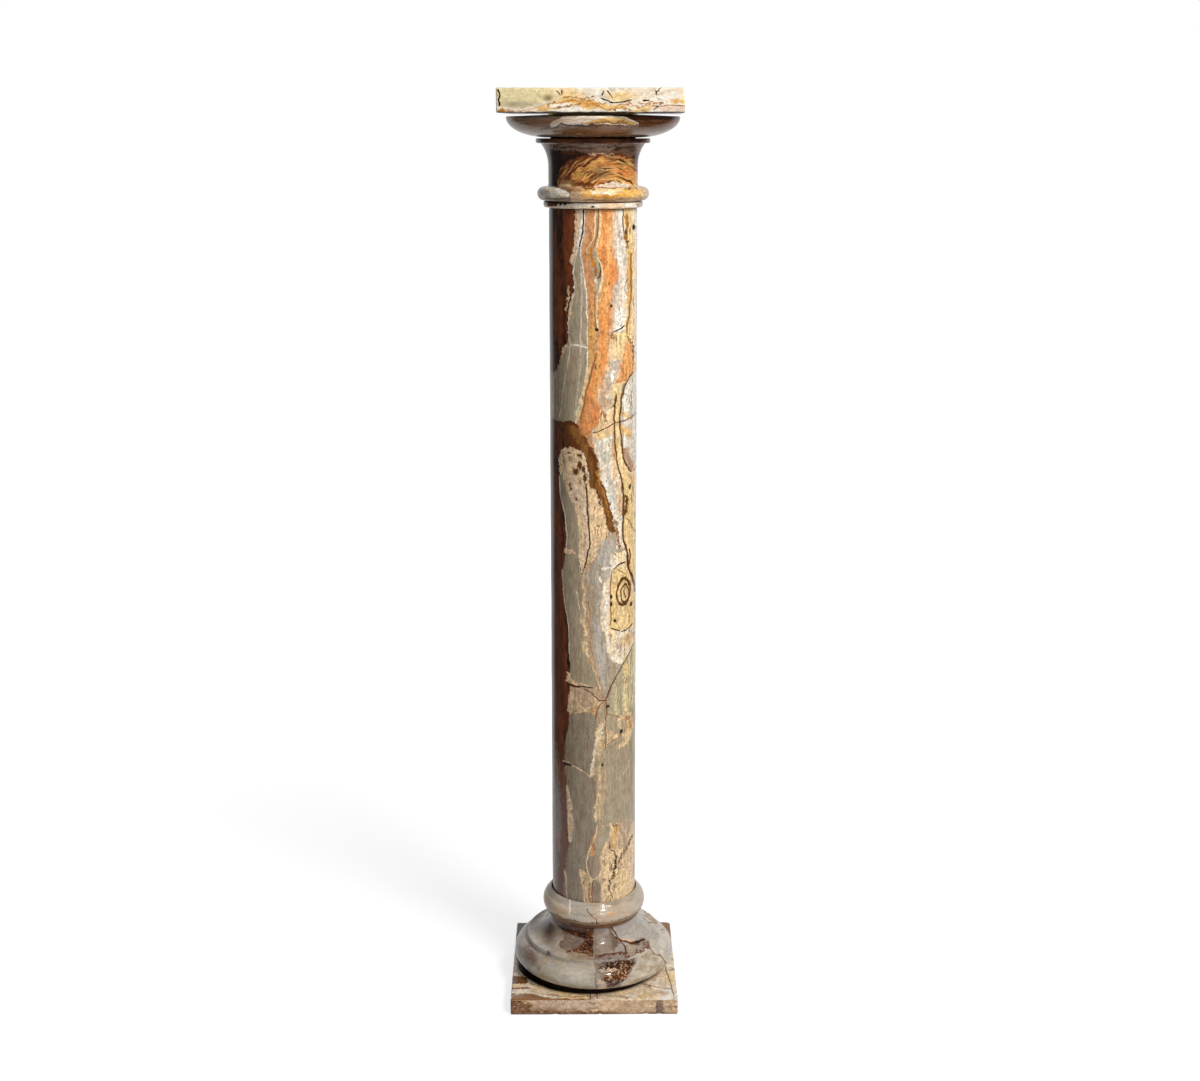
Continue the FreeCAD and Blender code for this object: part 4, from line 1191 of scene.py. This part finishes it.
def abacus_stone():
    """The top slab: ivory with a khaki corner, gold clouds and dark cracks; clouds and veins further back."""
    low, high = extent("abacus_slab")
    stone = Stone("abacus_onyx", (0.3, 0.3, 1), low.y + 8, low.y + 60, 60.0, 14.0)
    stone.ground((WHITE, IVORY))
    stone.window = stone.ramp(stone.y, low.y + 4, low.y + 10)
    stone.cloudy((KHAKI, CREAM), 40.0, 0.5, 0.6)
    stone.marbled(BROWN, 55.0, 0.02)
    stone.window = None
    stone.spot((CREAM, YELLOW), -22, 992, 17, 6, "ragged", 0.7)
    stone.spot((CREAM, YELLOW), 26, 991, 14, 5, "ragged", 0.7)
    stone.layer((YELLOW, GOLD), "-45 983 985, -36 984 988, -28 985 989.5, -15 985.5 989, -5 985.5 987.5, "
                "5 983 985.5", "ragged", 1.4)
    stone.layer((YELLOW, GOLD), "-14 981.5 984, -5 979.5 986, 10 979 985, 22 979 983, 32 980 982", "ragged",
                1.4)
    stone.layer((YELLOW, GOLD), "38 977 979, 46 978 981.5, 56 978.5 983, 62 981 984", "ragged", 1.2)
    stone.spot((GOLD, YELLOW), 84, 987, 9, 2.4, "ragged", 0.5)
    stone.spot((YELLOW, GOLD), -48, 980.5, 7, 2.6, "ragged", 0.5)
    stone.layer((LILAC, WHITE), "58 977 981.5, 75 977 982.5, 95 977 983", "ragged", 0.8)
    stone.layer(WHITE, "-36 976 978.5, -28 976 981, -18 976 982, -10 976 979.5", "clean", 0.6)
    stone.layer(KHAKI, "-95 982 1001, -88 981.5 1001, -74 980 1001, -60 981.5 1001, -50 985 1001, "
                "-42 988.5 1001, -37 993 1001", "clean", 0.5, WHITE)
    stone.spot(OLIVE, -44, 990, 5, 3, "smooth", 0.9)
    stone.spot(GREEN_GREY, -74, 984, 16, 3, "smooth", 0.9)
    stone.line(SAND, 1.0, "-92 979, -78 978, -64 979, -52 982.5, -42 986", "clean", 0.6)
    stone.layer((UMBER, OCHRE), "-96 975 980, -88 975 979, -75 975 977.5, -62 975 976", "ragged", 1.0)
    stone.line(WHITE, 3.0, "-95.5 994, -95 985, -94.5 976")
    stone.line(BLACK_BROWN, 1.7, "-92.5 1001, -92.5 997, -91 993, -92.5 990, -91.5 984, -91 980", "clean")
    for route in ("-46 983.5, -40 985, -30 985, -20 987.5, -12 988, -5 987, 2 987.5",
                  "-42 979, -35 980, -28 981, -20 983.5", "-2 983, 10 980, 20 979, 30 979.5, 38 978",
                  "-20 983, -10 985, 0 984, 12 985", "24 983, 34 984.5, 44 982, 56 984",
                  "-28 990, -18 991, -8 989, 0 990.5", "44 986, 56 985, 68 986"):
        stone.line((BROWN, OCHRE), 1.2, route, "ragged", 0.4)
    stone.line(BROWN, 1.0, "58 982.6, 75 983, 92 983", "clean")
    # Painted shadow: a dark line along the slab's lower front edge, where its rounded edge turns under into
    # shade.
    stone.line(BLACK_BROWN, 1.2, "-97 976.4, 0 976.4, 97 976.4")
    for route in ("-30.5 1000, -30.5 991", "-37 999, -35 995, -31 991", "11 1000, 9 994, 7.5 990",
                  "11 1000, 15 995, 20 989.5", "7.5 990, 12 988, 18 985.5, 26 986, 37 987.5",
                  "57 1000, 61.5 996, 62 990", "66 1000, 62 996", "48 988, 54 987.5", "-10 997, -8 993",
                  "60 986, 63 981, 58 979"):
        stone.crack(route, 1.4, BLACK)
    return stone.finished(0.25, 0.3)


def collar_stone():
    """The ring at the shaft's foot: smooth grey cream with a white vein and a crack, and painted shade,
    greyer and browner, on its lower roll and foot.
    """
    stone = Stone("collar_onyx", (0.15, 0.15, 1))
    stone.ground((PEARL, SAND))
    stone.band((SAND, ASH), "117 8 60, 100 6 60, 86 8 60", "clean", 4.0)
    stone.spot(ASH, -13, 105, 14, 6, "smooth", 0.8)
    stone.layer((GREY, ASH), "-60 109 117, 10 109 117, 30 110 117, 60 110 117", "smooth", 1.2)
    stone.line(WHITE, 1.4, "-27 116, -27 108, -28 101", "clean", 0.6)
    stone.line(CREAM, 1.6, "-49 97, -40 97.4, -30 97", "ragged", 0.9)
    stone.spot((GOLD, CREAM), 17.5, 104.5, 3.0, 1.8, "ragged", 0.5)
    stone.spot(WHITE, 9.5, 105, 4.0, 0.9, "ragged")
    stone.spot((WHITE, GOLD), 17, 110, 2.6, 1.0, "ragged")
    # Painted shade: the lower roll greyer and browner, and the set-back foot dark brown, where they turn down
    # from the light.
    stone.layer((GREY, TAUPE), "-60 84 95.5, -20 84 94.5, 20 84 93, 60 84 95", "clean", 1.6)
    stone.layer((UMBER, BROWN), "-60 84 90, 60 84 90", "clean", 0.8)
    stone.line(BROWN, 1.0, "-46 95, -20 94, 10 93, 40 94.4", "ragged", 0.5)
    stone.crack("-8 109, -2 102, 3 98, 4 92", 1.2, UMBER)
    return stone.finished(0.1, 0.3)


def moulding_stone():
    """The base moulding: lobes of grey and lilac in the hollow, clear grey and cream panels on the torus."""
    stone = Stone("moulding_onyx", (0.4, 0.4, 1))
    stone.ground((FOG, GREY))
    stone.spot((MAUVE, SLATE), -53, 69, 8, 8, "clean", 0.7)
    stone.band((FOG, MAUVE), "89 -40 -1, 76 -36 -1, 66 -34 -1", "clean", 3.0)
    stone.window = stone.band((MAROON, BLACK_BROWN), "74 -10 -1, 70 -16 -1, 65 -26 -1, 58.6 -31 -1",
                              "clean", 1.5)
    stone.cloudy((SAND, MAUVE), 1.8, 0.52, 0.66)
    stone.window = None
    stone.window = stone.layer((BLACK_BROWN, MAROON), "-50 80 89, -36 75 89, -24 73 89, -14 72 89, "
                               "-6 73 89, 0 77 89, 10 79.5 89", "clean", 1.5)
    stone.cloudy((MAUVE, TAUPE), 2.4, 0.6, 0.7)
    stone.window = None
    stone.layer((GREY, BROWN), "-30 58.6 59.4, -15 58.6 60, -2 58.6 59.4", "clean", 0.6)
    stone.layer((SLATE, TAUPE), "-39 61.5 63.5, -34 60.5 66.5, -28 60.5 69, -22 62.5 71, -16 66 72.5, "
                "-11 70.5 72", "smooth", 0.4)
    stone.line(SAND, 1.0, "-44 59.4, -41 62.4, -37.4 67, -34 70.4", "smooth", 0.6)
    stone.band((MAUVE, SLATE), "89 1 18, 76 1 24, 66 1 29, 58.6 1 36", "clean", 0.8)
    stone.band((FOG, TAUPE), "84 1 14, 74 1 18, 66 1 20, 60 2 22", "smooth", 2.5)
    stone.layer((FOG, GREY), "24 59 63, 36 59 65, 50 59 62, 60 59 60.5", "ragged", 0.8)
    stone.band((ASH, FOG), "89 19 60, 73 24 60, 66.5 34 64, 62 46 68, 60 58 70", "smooth", 0.6)
    stone.line((MAROON, BLACK_BROWN), 1.6, "19 84, 24 75, 30 67, 36 59.5", "clean", 0.5)
    stone.line((PINK, SAND), 0.8, "20 78, 24 72.5, 34 67, 46 62.5", "smooth", 0.5)
    stone.line((MAROON, BLACK_BROWN), 1.6, "24 71.5, 34 65.8, 46 61.6, 58 60", "smooth", 0.5)
    stone.layer((ASH, FOG), "-78 52 58.6, -46 52 58.6", "smooth", 1.0)
    stone.layer((GREY, ASH), "-46 52 58.6, 0 52 58.6", "smooth", 1.0)
    stone.layer((FOG, MAUVE), "2 52 58.6, 36 52 58.6", "ragged", 1.0)
    stone.layer((ASH, PEARL), "38 52 58.6, 78 52 58.6", "ragged", 1.0)
    stone.spot(UMBER, -51, 55.5, 3, 1.6, "ragged", 0.4)
    stone.line(MAROON, 0.7, "6 59, 22 59.2, 38 59", "clean")
    stone.band((ASH, FOG), "51 -95 -60, 25 -95 -66", "smooth", 2.0)
    stone.spot((MAUVE, TAUPE), -72, 47, 8, 5, "ragged", 0.8)
    stone.band((GREEN_GREY, ASH), "51 -56 1, 40 -62 1, 25 -64 1", "smooth", 0.8)
    stone.spot((PEARL, ASH), -24, 43, 20, 7, "smooth", 0.8)
    stone.line((SAND, BROWN), 1.2, "-50 55, -56 49, -62 43, -64 34", "clean", 0.5)
    stone.band((FOG, TAUPE), "52 2 46, 46 2 42, 37 2 36, 25 2 30", "clean", 0.8)
    stone.window = stone.band((BLACK_BROWN, MAROON), "55 8 38, 51 12 46, 46 14 42, 42 8 37, 38 8 34, "
                              "34 14 28, 31 16 22", "ragged", 2.0)
    stone.cloudy((MAUVE, SAND), 2.6, 0.46, 0.64)
    stone.window = None
    # Painted highlight: a pale pink-grey streak along the top of the torus where the light glints on it.
    stone.line((PINK, FOG), 2.0, "4 50, 14 49, 24 49.5", "ragged", 0.6)
    stone.band((PINK, FOG), "40 4 9, 34 3 12, 28 3 16", "ragged", 1.2)
    stone.band((PEARL, GREY), "52 52 72, 47 44 78, 41 39 80, 35 32 80, 25 28 80", "clean", 0.8)
    stone.band((ASH, PEARL), "52 70 95, 40 79 95, 25 80 95", "smooth", 1.4)
    stone.line(BROWN, 1.4, "62 58, 66 51, 75 47, 80 40, 82 36, 83 30", "clean", 0.5)
    stone.line((UMBER, RED_BROWN), 1.6, "34 57, 44 57.5, 54 58, 64 57", "ragged", 0.6)
    stone.line(BLACK_BROWN, 1.2, "4 51, 18 51.4, 30 51", "ragged", 0.5)
    stone.line(TAUPE, 1.0, "0.5 89, 0 70, 1 55, 1.5 40, 1.5 30", "clean", 0.4)
    return stone.finished(0.1, 0.3, 0.05)


def plinth_stone():
    """The floor slab: ivory on top, granular brown and sand along the front, and painted shade under the
    torus's edge.
    """
    low, high = extent("plinth_slab")
    painted_shade_reach = extent("base_moulding")[1].x - PAINTED_SHADE_INSET
    stone = Stone("plinth_onyx", (0.2, 0.2, 1), low.y + 8, low.y + 60, 60.0, 12.0)
    stone.ground((SAND, PINK))
    stone.window = stone.ramp(stone.y, low.y + 4, low.y + 10)
    stone.cloudy((BROWN, MAUVE), 30.0, 0.52, 0.62)
    stone.marbled(UMBER, 60.0, 0.02)
    stone.window = None
    stone.layer((LILAC, SAND), "-62 7 24, 0 8 24", "ragged", 1.6)
    stone.layer((SAND, EARTH), "-20 -2 4, 20 -2 5, 60 -2 4, 96 -2 5", "ragged", 1.6)
    stone.window = stone.layer((EARTH, BROWN), "-96 -2 24, -84 -2 20, -72 -2 14, -60 -2 8, -30 -2 6, "
                               "0 -2 4, 14 -2 2", "ragged", 1.4)
    stone.cloudy(UMBER, 2.5, 0.5, 0.58)
    stone.cloudy(SAND, 3.0, 0.6, 0.66)
    stone.window = None
    stone.layer((EARTH, SAND), "-70 6 12, -45 5 9, -20 3 7", "ragged", 1.6)
    stone.line((TAUPE, MAUVE), 8.0, "73 -1, 73.5 10, 73 22", "ragged", 0.8)
    stone.line(BLACK_BROWN, 0.8, "69 -1, 69.6 10, 69 22", "ragged")
    stone.line((EARTH, BROWN), 1.4, "-60 19.4, -30 19, 20 19.4, 68 19, 95 19.4", "ragged", 0.6)
    stone.look(stone.x, stone.y, stone.ramp(stone.z, high.z - 1.6, high.z - 0.6))
    stone.layer((WHITE, CREAM), "-120 -120 120, 120 -120 120")
    stone.cloudy((SAND, IVORY), 24.0, 0.5, 0.66)
    stone.layer((EARTH, BROWN), "-92 -96 -84, -76 -96 -80, -60 -96 -86, -40 -96 -90, 0 -96 -92", "ragged",
                1.2)
    stone.layer((BROWN, UMBER), "-96 -56 -36, -86 -58 -40, -76 -56 -46", "ragged", 1.0)
    stone.layer((EARTH, BROWN), "-96 -70 -64, -84 -70 -66, -72 -68 -66", "ragged", 1.0)
    stone.line((SAND, BROWN), 1.6, "-70 -76, -45 -84, -20 -87, 10 -85, 40 -88", "ragged", 0.8)
    stone.band(SLATE, "96 -96 -50, 60 -96 -60, 40 -96 -84", "ragged", 1.2)
    stone.band((EARTH, BROWN), "96 56 96, 66 60 96, 44 82 96", "ragged", 1.2)
    # Painted shade and shadow: a black oval under the torus's edge, set off to the left, stands in for the
    # dark gap under the torus and the shadow it casts to the left.
    stone.spot(BLACK, -6, 0, painted_shade_reach + 3, painted_shade_reach, "smooth", 0.015)
    for route in ("83 -20, 86 -50, 89 -87", "62 -62, 76 -68, 88 -70", "-4 -80, -4.5 -94", "3 -80, 3.5 -92",
                  "36 -92, 37 -88"):
        stone.crack(route, 1.1, UMBER)
    stone.spot(BLACK_BROWN, -90, -80, 2.5, 1.6, "ragged", 0.4)
    return stone.finished(0.45, 0.25)


def turned_metal(name, colour, roughness):
    """Metal with fine rings from the lathe."""
    material = new_material(name)
    nodes = Nodes(material.node_tree)
    place = nodes.place_in_mm()
    rings = nodes.noise(nodes.vector_math("MULTIPLY", place, (0.05, 0.05, 1.0))[0], 0.8, 3)
    stain = nodes.noise(place, 14.0, 3)
    shader = nodes.node("ShaderNodeBsdfPrincipled")
    shader.inputs["Metallic"].default_value = 1.0
    dull = tuple(0.55 * c for c in colour[:3])
    nodes.put(shader.inputs["Base Color"], nodes.mixed(nodes.ramp(stain, 0.45, 0.75), colour, (*dull, 1)))
    nodes.put(shader.inputs["Roughness"], nodes.ramp(rings, 0.3, 0.7, roughness, roughness + 0.2))
    nodes.embossed(shader, rings, 0.3, 0.1)
    return material


def mastic():
    """Dull dark setting compound with grit in it."""
    material = new_material("dark_mastic")
    nodes = Nodes(material.node_tree)
    place = nodes.place_in_mm()
    grit = nodes.noise(place, 1.2, 3)
    shader = nodes.node("ShaderNodeBsdfPrincipled")
    nodes.put(shader.inputs["Base Color"], nodes.mixed(nodes.ramp(grit, 0.4, 0.65), BLACK_BROWN, UMBER))
    shader.inputs["Roughness"].default_value = 0.85
    nodes.embossed(shader, grit, 1.0, 0.3)
    return material


def painted(piece, material):
    piece.data.materials.clear()
    piece.data.materials.append(material)


# Floor, light and camera

def floor():
    mesh = bpy.data.meshes.new("floor")
    r = FLOOR_REACH
    mesh.from_pydata([(-r, -r, 0), (r, -r, 0), (r, r, 0), (-r, r, 0)], [], [(0, 1, 2, 3)])
    piece = placed("floor", mesh)
    piece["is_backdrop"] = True
    return piece


def seen_or_mirrored(nodes):
    """Whether a ray comes from the camera, and whether it comes from a mirroring surface."""
    rays = nodes.node("ShaderNodeLightPath").outputs
    return rays["Is Camera Ray"], nodes.math("MAXIMUM", rays["Is Glossy Ray"], rays["Is Transmission Ray"])


def floor_material():
    """White paper that keeps the shadow; the polish mirrors it near by, and a dim room in front."""
    material = new_material("pale_floor")
    nodes = Nodes(material.node_tree)
    place = nodes.node("ShaderNodeTexCoord").outputs["Object"]
    distance = nodes.vector_math("LENGTH", place)["Value"]
    behind = nodes.ramp(nodes.math("DIVIDE", nodes.split(place)[1], distance), *BACKDROP_EDGE)
    near = nodes.ramp(distance, *NEAR_FLOOR)
    camera_ray, mirrored = seen_or_mirrored(nodes)
    mirror = nodes.node("ShaderNodeEmission")
    bright = nodes.math("MAXIMUM", behind, near)
    nodes.put(mirror.inputs["Strength"], nodes.ramp(bright, 0, 1, DIM_ROOM, BACKDROP))
    white = nodes.node("ShaderNodeEmission")
    nodes.put(white.inputs["Strength"], nodes.ramp(distance, *PAPER_REACH, PAPER_GLOW, 1.0))
    paper = nodes.node("ShaderNodeAddShader")
    nodes.put(paper.inputs[0], white.outputs[0])
    nodes.put(paper.inputs[1], nodes.diffuse(PAPER_SHADE))
    shader = nodes.blended(mirrored, nodes.diffuse(FLOOR_BOUNCE), mirror.outputs[0])
    nodes.shown_as(nodes.blended(camera_ray, shader, paper.outputs[0]))
    return material


def white_world():
    """White where it is seen and behind the column, dim in front of it, and a soft fill light."""
    world = bpy.data.worlds.new("studio")
    bpy.context.scene.world = world
    world.use_nodes = True
    nodes = Nodes(world.node_tree)
    direction = nodes.node("ShaderNodeTexCoord").outputs["Generated"]
    behind = nodes.ramp(nodes.split(direction)[1], *BACKDROP_EDGE, DIM_ROOM, BACKDROP)
    camera_ray, mirrored = seen_or_mirrored(nodes)
    fill = nodes.math("MULTIPLY_ADD", mirrored, nodes.sum(behind, -FILL_LIGHT), FILL_LIGHT)
    background = nodes.node("ShaderNodeBackground")
    background.inputs["Color"].default_value = (1, 1, 1, 1)
    nodes.put(background.inputs["Strength"], nodes.math("MAXIMUM", camera_ray, fill))
    nodes.put(nodes.node("ShaderNodeOutputWorld").inputs[0], background.outputs[0])


def lamp(name, size, power, towards, distance, mirrored):
    """A round lamp aimed at the column's middle: it lights the stone, or only shows in the polish."""
    data = bpy.data.lights.new(name, "AREA")
    data.shape = "DISK"
    data.size = size
    data.energy = power
    piece = placed(name, data)
    way = Vector(towards).normalized()
    piece.location = Vector((0, 0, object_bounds()[1][2] / 2)) + distance * way
    piece.rotation_euler = way.to_track_quat("Z", "Y").to_euler()
    piece.visible_glossy = mirrored
    piece.visible_diffuse = not mirrored


def lights():
    """A key lamp and a softer one in front, a small one for the glints and a soft one for the back."""
    lamp("key", 0.7, 33.0, (0.472, -0.543, 0.695), 2.0, False)
    lamp("front", 1.2, 11.5, (0.44, -0.85, 0.28), 2.2, False)
    lamp("glint", 0.14, 12.0, (0.329, -0.683, 0.649), 2.5, True)
    lamp("back", 1.2, 16.0, (0.0, 0.98, 0.2), 2.2, False)


def camera():
    data = bpy.data.cameras.new("camera")
    data.lens = CAMERA_LENS
    data.sensor_width = CAMERA_SENSOR
    view = placed("camera", data)
    view.location = CAMERA_PLACE
    view.rotation_euler = (math.radians(90 - CAMERA_TILT), 0, math.radians(-CAMERA_TURN))
    bpy.context.scene.camera = view


painted(shaft(), shaft_stone())
painted(plinth(), plinth_stone())
painted(base_moulding(), moulding_stone())
painted(base_collar(), collar_stone())
painted(neck_fillet(), fillet_stone())
painted(capital_neck(), neck_stone())
painted(echinus(), echinus_stone())
painted(abacus(), abacus_stone())
inner_materials = {
    "steel": turned_metal("turned_steel", tone(188, 188, 190), 0.28),
    "brass": turned_metal("turned_brass", tone(214, 176, 98), 0.22),
    "mastic": mastic(),
}
for subpart in frame["record"]["subparts"]:
    if subpart["material_slot"] in inner_materials:
        painted(frame["nodes"][subpart["node"]], inner_materials[subpart["material_slot"]])

painted(floor(), floor_material())
white_world()
lights()
camera()
bpy.context.scene.view_settings.view_transform = "Standard"
